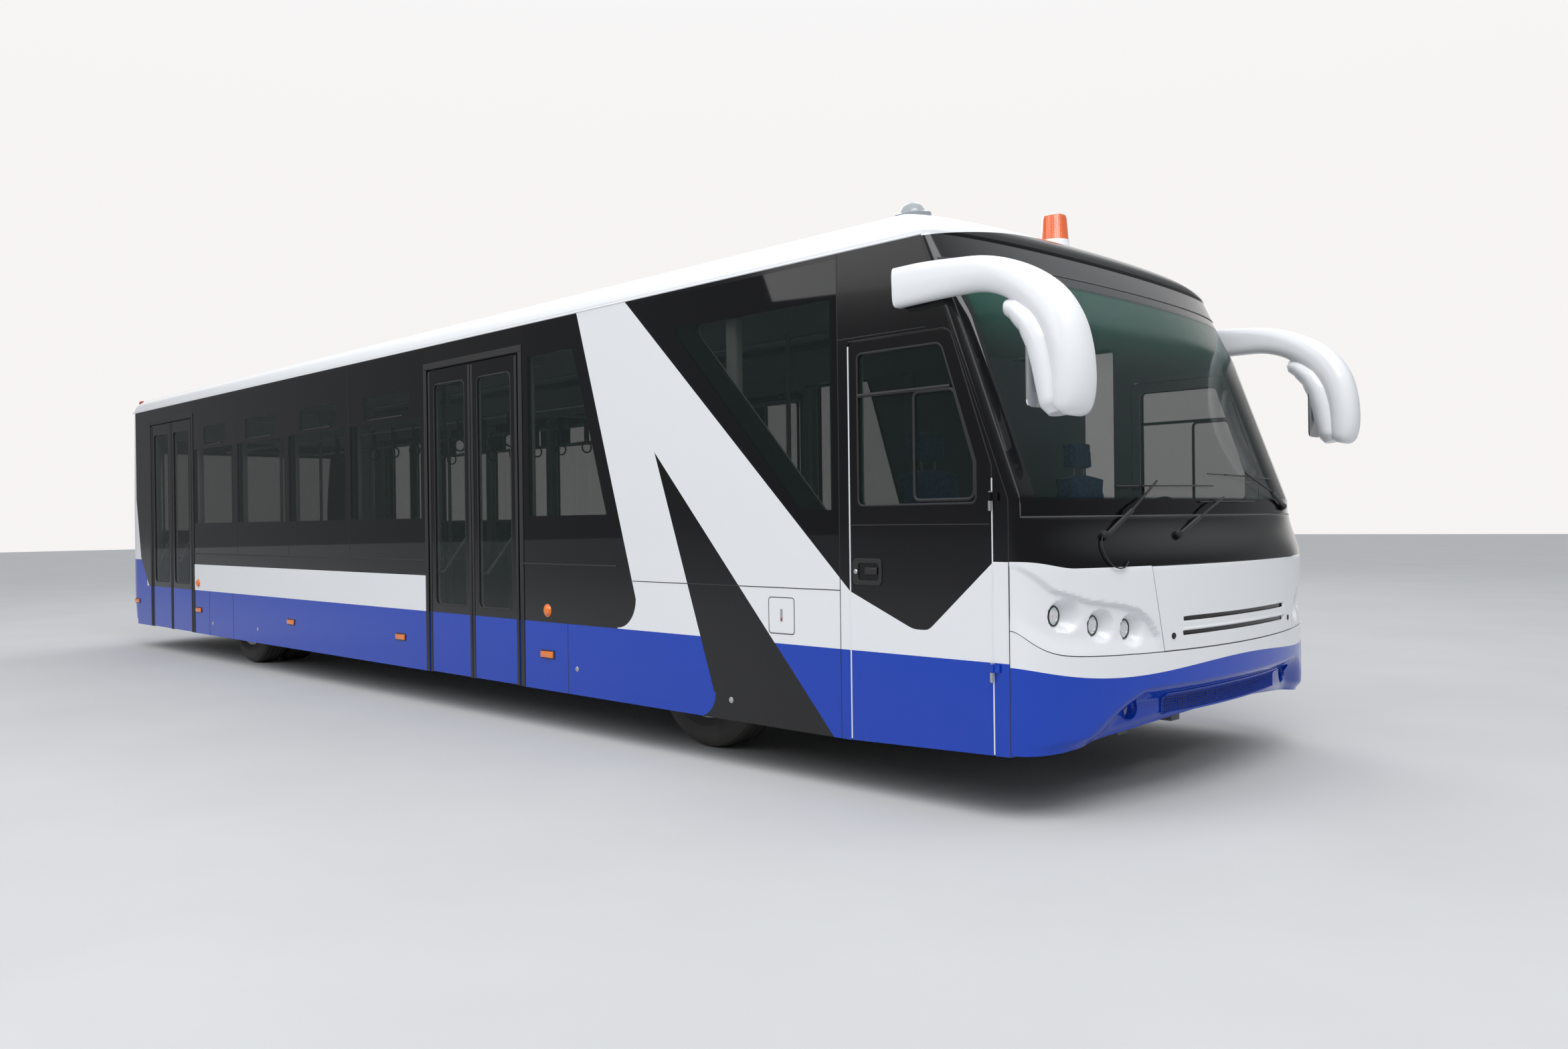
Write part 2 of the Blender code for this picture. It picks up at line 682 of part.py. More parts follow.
def platform():
    """Raised floor over the front wheels, cab floor and the hump over the engine."""
    back = SEAM_X - PLATFORM_BACK
    cab = SEAM_X - CAB_FLOOR_BACK
    edge = WALL_Y - SEAT
    under = FLOOR_Z - FLOOR_THICK
    top = box("front_platform", (back, -edge, PLATFORM_Z - SHEET), (cab, edge, PLATFORM_Z))
    rear_riser = ((back, -edge, RAIL_Z[1] + SEAT), (back + SHEET, edge, PLATFORM_Z - 0.01))
    join(top, box("rear_riser", *rear_riser))
    low = CAB_FLOOR_Z - SHEET
    join(top, box("cab_riser", (cab - SHEET, -edge, low), (cab, edge, PLATFORM_Z - 0.01)))
    cab_edge = edge - 0.01
    cab_front = SEAM_X - 0.03
    cab_floor = ((cab - 0.01, -cab_edge, low), (cab_front, cab_edge, CAB_FLOOR_Z))
    join(top, box("cab_floor", *cab_floor))
    hump = 0.46
    hump_z = PLATFORM_Z - HUMP_DROP
    join(top, box("hump", (cab - 0.01, -hump, low + 0.01), (cab_front - 0.02, hump, hump_z)))
    inside = ((cab - 0.2, SHEET - hump, under), (cab_front - SHEET - 0.02, hump - SHEET, hump_z - SHEET))
    hollow = box("hump_hollow", *inside)
    roofed = box("under_platform", (back + SHEET, -hump, under), (cab + 0.1, hump, PLATFORM_Z - SHEET))
    cut(top, hollow, roofed)
    return finish(top, "grey")


def engine():
    size = (1.45, 0.38)
    front = SEAM_X - 0.35
    low = RAIL_Z[1] + SEAT
    top = PLATFORM_Z - HUMP_DROP - SHEET - 0.02
    block = ((front - size[0], -size[1], low), (front, size[1], top))
    finish(box("engine_block", *block), "steel")


def wheel_profile(outer_hub, inner_hub, lift=0.0):
    """Tyre and rim from the rim's outer edge down to its inner edge; heights run outward."""
    r = TYRE_R
    w = TYRE_W
    shape = [(RIM_R, w - 0.02), (r - 0.075, w), (r - 0.02, w - 0.02), (r, w - 0.055)]
    shape += [(r, 0.055), (r - 0.02, 0.02), (r - 0.075, 0.0), (RIM_R, 0.02)]
    return [*outer_hub, *((a, b + lift) for a, b in shape), *inner_hub]


def wheels():
    hub = [(0, 0.235), (0.085, 0.235), (0.125, 0.215), (0.135, 0.165), (0.235, 0.165)]
    hub += [(0.25, 0.20), (0.25, 0.245)]
    back = [(0.262, 0.02), (0.262, 0.10), (0.235, 0.135), (0.10, HUB_BACK), (0, HUB_BACK)]
    twin_hub = [(0, 0.45), (0.10, 0.45), (0.115, 0.345), (0.235, 0.33), (0.255, 0.37)]
    twin_hub += [(0.255, TWIN_PITCH + TYRE_W - 0.03)]
    twin_back = [(0.262, 0.02), (0.262, 0.26), (0.235, 0.29), (0.10, 0.29)]
    twin_back += [(0.09, TWIN_HUB_BACK), (0, TWIN_HUB_BACK)]
    single = wheel_profile(hub, back)
    outer = wheel_profile(twin_hub, [], TWIN_PITCH)
    twin = outer + wheel_profile([], twin_back)
    for name, side in SIDES.items():
        y = HALF - FRONT_WHEEL_INSET - TYRE_W / 2
        place = (FRONT_AXLE_X, side * y, TYRE_R)
        finish(turned(f"front_wheel_{name}", single, place, (0, side, 0)), "rubber")
        y = HALF - REAR_WHEEL_INSET - TYRE_W - TWIN_PITCH
        place = (REAR_AXLE_X, side * y, TYRE_R)
        finish(turned(f"rear_wheel_{name}", twin, place, (0, side, 0)), "rubber")


def axles():
    """Front beam with kingpin eyes, steered knuckles, and the dropped rear beam."""
    x, z = FRONT_AXLE_X, TYRE_R
    kingpin = HALF - KINGPIN_INSET
    beam = box("front_axle", (x - 0.05, -kingpin, z - 0.05), (x + 0.05, kingpin, z + 0.05))
    hub_y = HALF - FRONT_WHEEL_INSET - TYRE_W / 2 + HUB_BACK - SEAT
    for name, side in SIDES.items():
        y = side * kingpin
        join(beam, rod(f"kingpin_eye_{name}", (x, y, z - EYE_HALF), (x, y, z + EYE_HALF), 0.045, 16))
        low, high = span(side, 0.40, 0.52)
        spring = ((x - 0.10, low, z), (x + 0.10, high, PLATFORM_Z - SHEET - SEAT))
        join(beam, box(f"front_spring_{name}", *spring))
        low, high = span(side, kingpin + 0.055, kingpin + 0.09)
        knuckle = box(f"knuckle_{name}", (x - 0.04, low, z - 0.098), (x + 0.04, high, z + 0.098))
        low, high = span(side, kingpin - 0.035, kingpin + 0.08)
        for end in (-1, 1):
            z_low, z_high = sorted((z + end * (EYE_HALF + SEAT), z + end * 0.098))
            lug = box(f"lug_{name}_{end}", (x - 0.04, low, z_low), (x + 0.04, high, z_high))
            join(knuckle, lug)
        tip = (x, side * hub_y, z)
        join(knuckle, rod(f"spindle_{name}", (x, side * (kingpin + 0.07), z), tip, 0.035, 16))
        finish(knuckle, "steel")
    finish(beam, "steel")

    x = REAR_AXLE_X
    inner = HALF - REAR_WHEEL_INSET - TYRE_W - TWIN_PITCH
    end = inner - 0.015
    top = RAIL_Z[0] - SEAT
    dead = box("rear_axle", (x - 0.06, -end, top - 0.08), (x + 0.06, end, top))
    for name, side in SIDES.items():
        low, high = span(side, end - 0.045, end)
        post = ((x - 0.06, low, top - 0.02), (x + 0.06, high, z + 0.07))
        join(dead, box(f"rear_post_{name}", *post))
        tip = (x, side * (inner + TWIN_HUB_BACK - SEAT), z)
        join(dead, rod(f"rear_spindle_{name}", (x, side * (end - 0.02), z), tip, 0.045, 16))
    finish(dead, "steel")


def arm_point(jamb, way, side, local):
    """A point given along the body from a jamb and outward from the body side, in x and y."""
    return jamb + way * local[0], side * (HALF + local[1])


def arm_reach(reach, degrees):
    """A point of the swinging bar at rest, from its shaft, in jamb coordinates."""
    turn = math.radians(degrees)
    return (
        ARM_SHAFT[0] + reach * math.cos(turn),
        ARM_SHAFT[1] + reach * math.sin(turn),
    )


def passenger_doors():
    for side_name, side in SIDES.items():
        for door, rear, front in door_openings():
            for end, jamb, way in (("rear", rear, 1), ("front", front, -1)):
                name = f"{door}_door_{end}_{side_name}"
                width = (front - rear) / 2
                leaf(f"{name}_leaf", side, jamb, way, width)
                pivot = arm_point(jamb, way, side, arm_reach(ARM_LENGTH, ARM_REST))
                elbow = arm_point(jamb, way, side, arm_reach(*ARM_ELBOW))
                shaft = arm_point(jamb, way, side, ARM_SHAFT)
                path = [(*xy, ARM_LOW_Z) for xy in (pivot, elbow, shaft)]
                path += [(*xy, ARM_HIGH_Z) for xy in (shaft, elbow, pivot)]
                bar = tube(f"{name}_arm", path, ARM_R)
                pin = [(*shaft, z) for z in (ARM_HIGH_Z - 0.10, HEADER_Z - SEAT)]
                join(bar, rod(f"{name}_pin", *pin, ARM_R * 1.3, 10))
                finish(bar, "steel")


def leaf(name, side, jamb, way, width):
    """Door leaf with a glazed web, a lower panel and brackets over its two pivots."""
    y_low, y_high = span(side, HALF - LEAF_THICK, HALF)
    near, far = LEAF_JAMB_GAP, width - LEAF_GAP
    x_low, x_high = sorted((jamb + way * near, jamb + way * far))
    low, high = SKIRT_Z + 0.005, DOOR_TOP_Z - 0.006
    made = box(name, (x_low, y_low, low), (x_high, y_high, high))
    pivot = arm_reach(ARM_LENGTH, ARM_REST)[0]
    inset = -arm_reach(ARM_LENGTH, ARM_REST)[1]
    t_low, t_high = span(side, HALF - inset - 0.02, HALF - LEAF_THICK + 0.005)
    for z in (ARM_LOW_Z, ARM_HIGH_Z):
        foot = z + ARM_R + 0.0005
        x = jamb + way * pivot
        join(made, box(f"{name}_lug_{z}", (x - 0.025, t_low, foot), (x + 0.025, t_high, foot + 0.025)))
    edge = 0.10
    glass = [(x_low + edge, 0.76), (x_high - edge, 0.76), (x_high - edge, 2.48), (x_low + edge, 2.48)]
    glass = [(*corner, 0.04) for corner in glass]
    out_low, out_high = span(side, HALF - 0.006, HALF + 0.02)
    in_low, in_high = span(side, HALF - LEAF_THICK - 0.02, HALF - 0.006 - GLASS)
    cut(made, prism(f"{name}_outer_pocket", glass, "XZ", out_low, out_high))
    cut(made, prism(f"{name}_inner_pocket", glass, "XZ", in_low, in_high))
    finish(made, "black")


def cab_door(name, side):
    low, high = span(side, WALL_Y, HALF)
    door = prism(f"cab_door_{name}", cab_door_outline(0), "XZ", low, high)
    rear, front = SEAM_X - CAB_DOOR[0] + 0.06, SEAM_X - CAB_DOOR[1] - 0.09
    lean = front - CAB_DOOR_LEAN + 0.025
    glass = [(rear, 1.495, 0.04), (front, 1.495, 0.04), (front, CAB_DOOR_BEND_Z + 0.02)]
    glass += [(lean, CAB_DOOR_TOP_Z - 0.08, 0.06), (rear, CAB_DOOR_TOP_Z - 0.08, 0.04)]
    outer = span(side, HALF - 0.006, HALF + 0.02)
    inner = span(side, WALL_Y - 0.02, HALF - 0.006 - GLASS)
    for z in HINGE_Z:
        join(door, *hinge_half(f"cab_{name}_hinge_{z}", side, z - 0.04, z, -1))
    cut(door, prism(f"cab_{name}_outer_pocket", glass, "XZ", *outer))
    cut(door, prism(f"cab_{name}_inner_pocket", glass, "XZ", *inner))
    finish(door, "white")


def hinge_half(name, side, low, high, way):
    """Barrel on the cab door's hinge line with the strap to its door (-1) or pillar (1)."""
    x = SEAM_X - CAB_DOOR[1] + CAB_DOOR_GAP / 2
    y = side * (HALF + HINGE_OUT)
    barrel = rod(name + "_barrel", (x, y, low), (x, y, high), HINGE_R, 10)
    y_low, y_high = span(side, HALF - 0.004, HALF + HINGE_OUT - 0.002)
    x_low, x_high = sorted((x + way * 0.004, x + way * 0.04))
    strap = box(name + "_strap", (x_low, y_low, low + 0.001), (x_high, y_high, high - 0.001))
    return barrel, strap


def seat(name, y):
    """Cab seat on its pedestal: base, cushion, back and headrest in one outline."""
    x = SEAM_X - 1.02
    z = CAB_FLOOR_Z + SEAT
    outline = [
        (x + 0.12, z),
        (x + 0.42, z),
        (x + 0.42, z + 0.28),
        (x + 0.56, z + 0.28, 0.03),
        (x + 0.57, z + 0.41, 0.05),
        (x + 0.16, z + 0.40, 0.04),
        (x + 0.05, z + 1.02, 0.02),
        (x + 0.06, z + 1.24, 0.04),
        (x - 0.03, z + 1.24, 0.04),
        (x + 0.02, z + 0.28, 0.03),
        (x + 0.12, z + 0.28),
    ]
    made = prism(name, outline, "XZ", y - 0.24, y + 0.24)
    finish(made, "cloth")


def cab_fittings():
    """Dashboard with the steering wheel, the two seats and the screen behind the driver."""
    front = SEAM_X - 0.04
    z = CAB_FLOOR_Z + SEAT
    outline = [(front - 0.22, z), (front - 0.02, z), (front, 1.30), (front - 0.30, 1.30, 0.03)]
    outline += [(front - 0.36, 1.16, 0.02)]
    dash = prism("dashboard", outline, "XZ", 0.50, 1.38)
    wing = [(front - 0.30, 1.09), (front - 0.01, 1.09), (front - 0.005, 1.22), (front - 0.30, 1.22)]
    join(dash, prism("dash_wing", wing, "XZ", -1.38, 0.51))
    hub = Vector((front - 0.50, 0.80, 1.36))
    column = Vector((front - 0.28, 0.80, 1.16))
    lean = (hub - column).normalized()
    join(dash, rod("steering_column", column, hub, 0.035))
    join(dash, rod("steering_disc", hub - lean * 0.012, hub + lean * 0.018, 0.225, 20))
    finish(dash, "grey")
    seat("driver_seat", 0.80)
    seat("assistant_seat", -0.80)
    x = SEAM_X - CAB_FLOOR_BACK - 0.06
    low, high = PLATFORM_Z + SEAT, 2.45
    edge = WALL_Y - 0.03
    frame = [(0.05, low), (edge, low), (edge, high, 0.05), (0.05, high, 0.05)]
    screen = prism("cab_partition", frame, "YZ", x, x + 0.03)
    hole = [(0.10, 1.55, 0.04), (edge - 0.05, 1.55, 0.04), (edge - 0.05, high - 0.05, 0.04)]
    hole += [(0.10, high - 0.05, 0.04)]
    cut(screen, prism("partition_window", hole, "YZ", x - 0.02, x + 0.018))
    finish(screen, "steel")


def grab_rails():
    """Ceiling rails along the cabin on floor-standing poles, tied by cross bars."""
    rail_y, rail_z, r = 0.55, 2.35, 0.017
    back, front = TAIL_X + 0.95, SEAM_X - PLATFORM_BACK - 0.25
    rails = rod("grab_rails", (back, -rail_y, rail_z), (front, -rail_y, rail_z), r, 8)
    join(rails, rod("rail_left", (back, rail_y, rail_z), (front, rail_y, rail_z), r, 8))
    poles = sorted(x for _, a, b in door_openings() for x in (a - 0.06, b + 0.06))
    for x in poles:
        low_bar = rail_z - 0.003
        bar = rod(f"cross_bar_{x:.2f}", (x, -rail_y, low_bar), (x, rail_y, low_bar), r * 0.8, 7)
        join(rails, bar)
    between = poles[1] + (poles[2] - poles[1]) * 0.36
    for x in (*poles, between, front - 0.1):
        for side in SIDES.values():
            foot = (x, side * rail_y, FLOOR_Z + SEAT)
            top = (x, side * rail_y, POLE_TOP_Z)
            join(rails, rod(f"pole_{x:.2f}_{side}", foot, top, r * 1.15, 9))
    finish(rails, "steel")


def mirror(name, side):
    """Mirror arm from above the cab door, curving forward and down to the head."""
    root, drop = SEAM_X - 0.61, SEAM_X + 0.43
    arm = [
        (root, 2.46, 0.03),
        (root + 0.56, 2.455),
        (root + 0.70, 2.38),
        (drop - 0.12, 2.22),
        (drop - 0.02, 2.10),
        (drop + 0.03, 2.22, 0.03),
        (drop - 0.10, 2.43, 0.10),
        (root + 0.62, 2.62, 0.10),
        (root, 2.65, 0.03),
    ]
    made = prism(f"mirror_{name}", arm, "XZ", *span(side, HALF + SEAT, HALF + 0.09))
    head = [
        (drop - 0.14, 1.86, 0.03),
        (drop - 0.02, 1.84, 0.04),
        (drop + 0.05, 1.98, 0.05),
        (drop + 0.02, 2.24, 0.04),
        (drop - 0.13, 2.20, 0.03),
    ]
    join(made, prism(f"mirror_head_{name}", head, "XZ", *span(side, HALF - 0.05, HALF + 0.19)))
    finish(made, "white")


def beacon():
    profile = [(0, 0.185), (0.05, 0.178), (0.074, 0.15), (0.082, 0.06), (0.082, 0.0), (0, 0.0)]
    finish(turned("beacon", profile, (BEACON_X, 0, BEACON_Z + SEAT), (0, 0, 1), 20), "amber")


def build():
    for old in list(bpy.data.objects):
        bpy.data.objects.remove(old)
    for group in (PARTS, CUTTERS):
        bpy.context.scene.collection.children.link(group)
    floor()
    platform()
    engine()
    axles()
    wheels()
    roof()
    nose()
    tail()
    for name, side in SIDES.items():
        side_wall(name, side)
        side_glass(name, side)
        cab_door(name, side)
        mirror(name, side)
    passenger_doors()
    cab_fittings()
    grab_rails()
    beacon()
    CUTTERS.hide_render = True


build()
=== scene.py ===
"""Looks of the airport apron bus: smooth shells, glass, lamps, trim and materials round the CAD frame.

Metres. +X is forward, +Y is the bus's left, +Z is up, as in the frame.
"""

import math
from contextlib import contextmanager

import bpy
from mathutils import Matrix, Vector


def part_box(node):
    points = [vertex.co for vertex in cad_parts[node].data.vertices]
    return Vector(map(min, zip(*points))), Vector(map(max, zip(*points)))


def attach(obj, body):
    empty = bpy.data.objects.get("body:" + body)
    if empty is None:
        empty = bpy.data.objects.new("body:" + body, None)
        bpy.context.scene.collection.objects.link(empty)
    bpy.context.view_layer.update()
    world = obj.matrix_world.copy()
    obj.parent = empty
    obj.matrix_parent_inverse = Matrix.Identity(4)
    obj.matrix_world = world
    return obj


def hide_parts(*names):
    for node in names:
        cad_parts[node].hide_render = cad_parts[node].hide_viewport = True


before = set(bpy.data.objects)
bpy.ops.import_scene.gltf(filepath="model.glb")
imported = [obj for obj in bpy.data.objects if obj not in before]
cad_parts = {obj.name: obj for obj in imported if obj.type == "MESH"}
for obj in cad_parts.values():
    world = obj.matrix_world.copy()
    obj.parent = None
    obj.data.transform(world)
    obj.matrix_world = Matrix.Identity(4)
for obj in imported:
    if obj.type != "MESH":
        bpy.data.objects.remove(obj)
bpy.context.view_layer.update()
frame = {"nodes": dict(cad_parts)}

SIDES = {"right": -1, "left": 1}
SEAT = 0.0003
SIDE_LOW, SIDE_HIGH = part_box("side_wall_right")
HALF = -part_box("main_glass_right")[0].y
SEAM_X = SIDE_HIGH.x + SEAT
TAIL_SEAM_X = SIDE_LOW.x
NOSE_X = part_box("front_bumper")[1].x
TAIL_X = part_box("rear_bumper")[0].x
GUTTER_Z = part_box("roof")[0].z
ROOF_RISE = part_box("roof")[1].z - GUTTER_Z
SKIRT_Z = SIDE_LOW.z
SILL_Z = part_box("main_glass_right")[0].z
BLUE_Z = 0.738
AXLE_Z = 0.478

# Nose: half ellipses between the side seams, as in the CAD
NOSE_DEPTH = NOSE_X - SEAM_X
GLASS_BULGE = 0.31
TOP_BULGE = 0.18
BROW_Z = (1.15, 1.45)
TOP_CURVE_Z = 2.40
LEAN_Z = 1.50
LEAN = 0.49 / (GUTTER_Z - LEAN_Z)
SCREEN_Z = (1.415, 2.68)
SCREEN_HALF = 1.478
SCREEN_REBATE = 0.012
LID_TOP_Z = 1.172
LID_HALF = (0.75, 0.836)
LID_GAP = 0.005

# Tail
TAIL_DEPTH = TAIL_SEAM_X - TAIL_X
TAIL_LEAN = 0.25
TAIL_LEAN_Z = 1.64
REAR_BUMPER_Z = 0.68
STEP_Z = 1.047  # top of the blue corner at the tail


# ---------------------------------------------------------------- modelling


def alone(piece):
    """Select one piece and make it active."""
    bpy.ops.object.select_all(action="DESELECT")
    piece.select_set(True)
    bpy.context.view_layer.objects.active = piece
    return piece


def added(name):
    """Name the primitive that was just added."""
    piece = bpy.context.active_object
    piece.name = name
    piece.data.name = name
    return piece


def modify(piece, kind, **settings):
    """Add a modifier with its settings and apply it."""
    step = piece.modifiers.new(kind.lower(), kind)
    for key, value in settings.items():
        setattr(step, key, value)
    alone(piece)
    bpy.ops.object.modifier_apply(modifier=step.name)
    return piece


@contextmanager
def editing(piece):
    """Edit mode on one piece, all of it selected."""
    alone(piece)
    bpy.ops.object.mode_set(mode="EDIT")
    bpy.ops.mesh.select_all(action="SELECT")
    yield
    bpy.ops.object.mode_set(mode="OBJECT")


def smooth(piece, degrees=32):
    """Smooth shading up to an angle between faces."""
    alone(piece)
    bpy.ops.object.shade_smooth_by_angle(angle=math.radians(degrees))
    return piece


def tidy(piece, merge=0.0001):
    """Merge what coincides and turn every face outwards."""
    with editing(piece):
        bpy.ops.mesh.remove_doubles(threshold=merge)
        bpy.ops.mesh.normals_make_consistent(inside=False)
    return piece


def soft_edges(piece, width, segments=2, degrees=30):
    """Round the edges sharper than an angle."""
    limit = math.radians(degrees)
    return modify(piece, "BEVEL", width=width, segments=segments, angle_limit=limit)


def skin(name, columns, rows, place):
    """A grid whose points go where place(u, v) says, u and v from 0 to 1."""
    bpy.ops.object.select_all(action="DESELECT")
    bpy.ops.mesh.primitive_grid_add(x_subdivisions=columns, y_subdivisions=rows, size=2)
    piece = added(name)
    for point in piece.data.vertices:
        point.co = place((point.co.x + 1) / 2, (point.co.y + 1) / 2)
    piece.data.update()
    return piece


def drop_faces(piece, inside):
    """Delete the faces whose centre is inside."""
    with editing(piece):
        bpy.ops.mesh.select_mode(type="FACE")
        bpy.ops.mesh.select_all(action="DESELECT")
    for face in piece.data.polygons:
        face.select = inside(face.center)
    bpy.ops.object.mode_set(mode="EDIT")
    bpy.ops.mesh.delete(type="FACE")
    bpy.ops.mesh.select_mode(type="VERT")
    bpy.ops.object.mode_set(mode="OBJECT")
    return piece


def shell(piece, thickness, outward):
    """Give a skin its wall, inward from the side that outward points to."""
    face = max(piece.data.polygons, key=lambda polygon: polygon.area)
    if face.normal.dot(Vector(outward)) < 0:
        with editing(piece):
            bpy.ops.mesh.flip_normals()
    return modify(piece, "SOLIDIFY", thickness=thickness, offset=-1)


def block(name, low, high, edge=0.0, segments=2):
    """Box between two corners with soft edges."""
    low, high = Vector(low), Vector(high)
    bpy.ops.object.select_all(action="DESELECT")
    bpy.ops.mesh.primitive_cube_add(size=1, location=(low + high) / 2, scale=high - low)
    piece = added(name)
    bpy.ops.object.transform_apply(location=True, rotation=True, scale=True)
    return soft_edges(piece, edge, segments) if edge else piece


def turned(name, profile, centre, axis, steps=32):
    """Profile of (radius, height) turned about an axis through a centre."""
    turn = Vector(axis).to_track_quat("Z", "Y").to_matrix()
    last = len(profile) - 1

    def place(u, v):
        radius, height = profile[round(v * last)]
        angle = u * 2 * math.pi
        spot = Vector((radius * math.cos(angle), radius * math.sin(angle), height))
        return Vector(centre) + turn @ spot

    return tidy(skin(name, steps, last, place), 0.00005)


def plate(name, outline, plane, low, high, edge=0.0):
    """Flat outline in a plane, extruded along the third axis."""
    order = {"XZ": (0, 2, 1), "YZ": (1, 2, 0), "XY": (0, 1, 2)}[plane]
    bpy.ops.object.select_all(action="DESELECT")
    bpy.ops.mesh.primitive_circle_add(vertices=len(outline), fill_type="NGON")
    piece = added(name)
    for point, (a, b) in zip(piece.data.vertices, outline):
        spot = [0.0, 0.0, 0.0]
        spot[order[0]], spot[order[1]], spot[order[2]] = a, b, low
        point.co = spot
    shift = [0.0, 0.0, 0.0]
    shift[order[2]] = high - low
    with editing(piece):
        bpy.ops.mesh.extrude_region_move(TRANSFORM_OT_translate={"value": shift})
        bpy.ops.mesh.select_all(action="SELECT")
        bpy.ops.mesh.normals_make_consistent(inside=False)
    return soft_edges(piece, edge) if edge else piece


def rounded(corners, steps=5):
    """Corners (a, b) or (a, b, radius) as outline points, round corners as arcs."""
    points = []
    for i, corner in enumerate(corners):
        tip = Vector(corner[:2])
        if len(corner) == 2:
            points.append(tuple(tip))
            continue
        back = (Vector(corners[i - 1][:2]) - tip).normalized()
        ahead = (Vector(corners[(i + 1) % len(corners)][:2]) - tip).normalized()
        half = back.angle(ahead) / 2
        centre = tip + (back + ahead).normalized() * corner[2] / math.sin(half)
        first = tip + back * corner[2] / math.tan(half) - centre
        last = tip + ahead * corner[2] / math.tan(half) - centre
        turn = math.atan2(first.cross(last), first.dot(last))
        for k in range(steps + 1):
            points.append(tuple(centre + Matrix.Rotation(turn * k / steps, 2) @ first))
    return points


def rectangle(low, high, radius):
    """Rounded rectangle between two corners."""
    (a, b), (c, d) = low, high
    return rounded([(a, b, radius), (c, b, radius), (c, d, radius), (a, d, radius)])


def cut(piece, tool):
    """Cut a piece with a tool, which is used up."""
    modify(piece, "BOOLEAN", operation="DIFFERENCE", object=tool, solver="EXACT")
    bpy.data.objects.remove(tool)
    return piece


def joined(name, pieces):
    """Several pieces as one object."""
    alone(pieces[0])
    for piece in pieces:
        piece.select_set(True)
    bpy.ops.object.join()
    return added(name)


MIRROR = Matrix.Scale(-1, 4, (0, 1, 0))


def bar(name, path, radius, sides=8, closed=False):
    """Round bar through points, as a mesh."""
    data = bpy.data.curves.new(name, "CURVE")
    data.dimensions = "3D"
    data.bevel_depth = radius
    data.bevel_resolution = max(0, sides // 4 - 1)
    data.use_fill_caps = not closed
    spline = data.splines.new("POLY")
    spline.points.add(len(path) - 1)
    for point, spot in zip(spline.points, path):
        point.co = (*spot, 1)
    spline.use_cyclic_u = closed
    made = bpy.data.objects.new(name, data)
    bpy.context.scene.collection.objects.link(made)
    alone(made)
    bpy.ops.object.convert(target="MESH")
    return smooth(tidy(added(name), 0.00002), 40)


def fit(piece, finish, body="body", nodes=()):
    """Let a piece ride on a body, in its material, in place of CAD nodes."""
    piece.data.materials.clear()
    piece.data.materials.append(finish)
    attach(piece, body)
    if nodes:
        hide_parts(*nodes)
    return piece


def blend(low, high, value):
    """Smooth step from 0 at low to 1 at high."""
    t = min(max((value - low) / (high - low), 0), 1)
    return t * t * (3 - 2 * t)


def curve(rows, share):
    """Numbers at a share of the way along a smooth curve through the rows."""
    scaled = share * (len(rows) - 1)
    k = min(int(scaled), len(rows) - 2)
    t = scaled - k
    near = rows[max(0, k - 1)], rows[k], rows[k + 1], rows[min(len(rows) - 1, k + 2)]
    return [
        b + 0.5 * t * (c - a + t * (2 * a - 5 * b + 4 * c - d + t * (3 * (b - c) + d - a)))
        for a, b, c, d in zip(*near)
    ]


def border(place, across, up):
    """Points round the edge of a skin whose places are place(u, v)."""
    path = [place(k / across, 0) for k in range(across + 1)]
    path += [place(1, k / up) for k in range(1, up + 1)]
    path += [place(1 - k / across, 1) for k in range(1, across + 1)]
    return path + [place(0, 1 - k / up) for k in range(1, up)]


# ---------------------------------------------------------------- body surfaces


def seam_x(z):
    """Where the body side meets the nose, leaning back above the waist."""
    return SEAM_X - LEAN * max(0, z - LEAN_Z)


def nose_bulge(z):
    """How far the middle of the nose stands ahead of the side seams."""
    brow = blend(*BROW_Z, z)
    top = max(0, z - TOP_CURVE_Z) / (GUTTER_Z - TOP_CURVE_Z)
    glass = GLASS_BULGE + (TOP_BULGE - GLASS_BULGE) * top
    return NOSE_DEPTH + (glass - NOSE_DEPTH) * brow


def nose_x(y, z):
    """Front of the nose at a place across and above the floor."""
    share = min(abs(y) / HALF, 1)
    return seam_x(z) + nose_bulge(z) * math.sqrt(1 - share * share)


def panel_seam_z(y):
    """Seam between the nose panel and the bumper."""
    share = min(abs(y) / HALF, 1)
    return 0.753 + 0.02 * share**2 + 0.118 * share**24


def lid_edge(z):
    """Half width of the lid at a height."""
    low = panel_seam_z(LID_HALF[0])
    share = min(max((z - low) / (LID_TOP_Z - low), 0), 1)
    return LID_HALF[0] + (LID_HALF[1] - LID_HALF[0]) * share


# Lamp recesses beside the lid, as places across and up; the bowls open forwards
LAMPS = ((1.348, 0.957), (1.157, 0.905), (0.965, 0.878))
LAMP_R = 0.043
BOWL_R = 0.084
BOWL_DEPTH = 0.062
# Brow above the lamps: places across and up
BROW = (
    (0.770, 0.77), (0.80, 0.85), (0.854, 0.921), (0.93, 0.975), (1.041, 1.003), (1.224, 1.03),
    (1.391, 1.086), (1.50, 1.20),
)
BROW_INSET = 0.020


def brow_z(y):
    """Height of the brow at a place across."""
    for (a, low), (b, high) in zip(BROW, BROW[1:]):
        if abs(y) <= b:
            return low + (high - low) * max(0, (abs(y) - a) / (b - a))
    return BROW[-1][1]


def lamp_floor(y, z):
    """Seat of a lamp in its bowl."""
    return nose_x(y, z) - BOWL_DEPTH


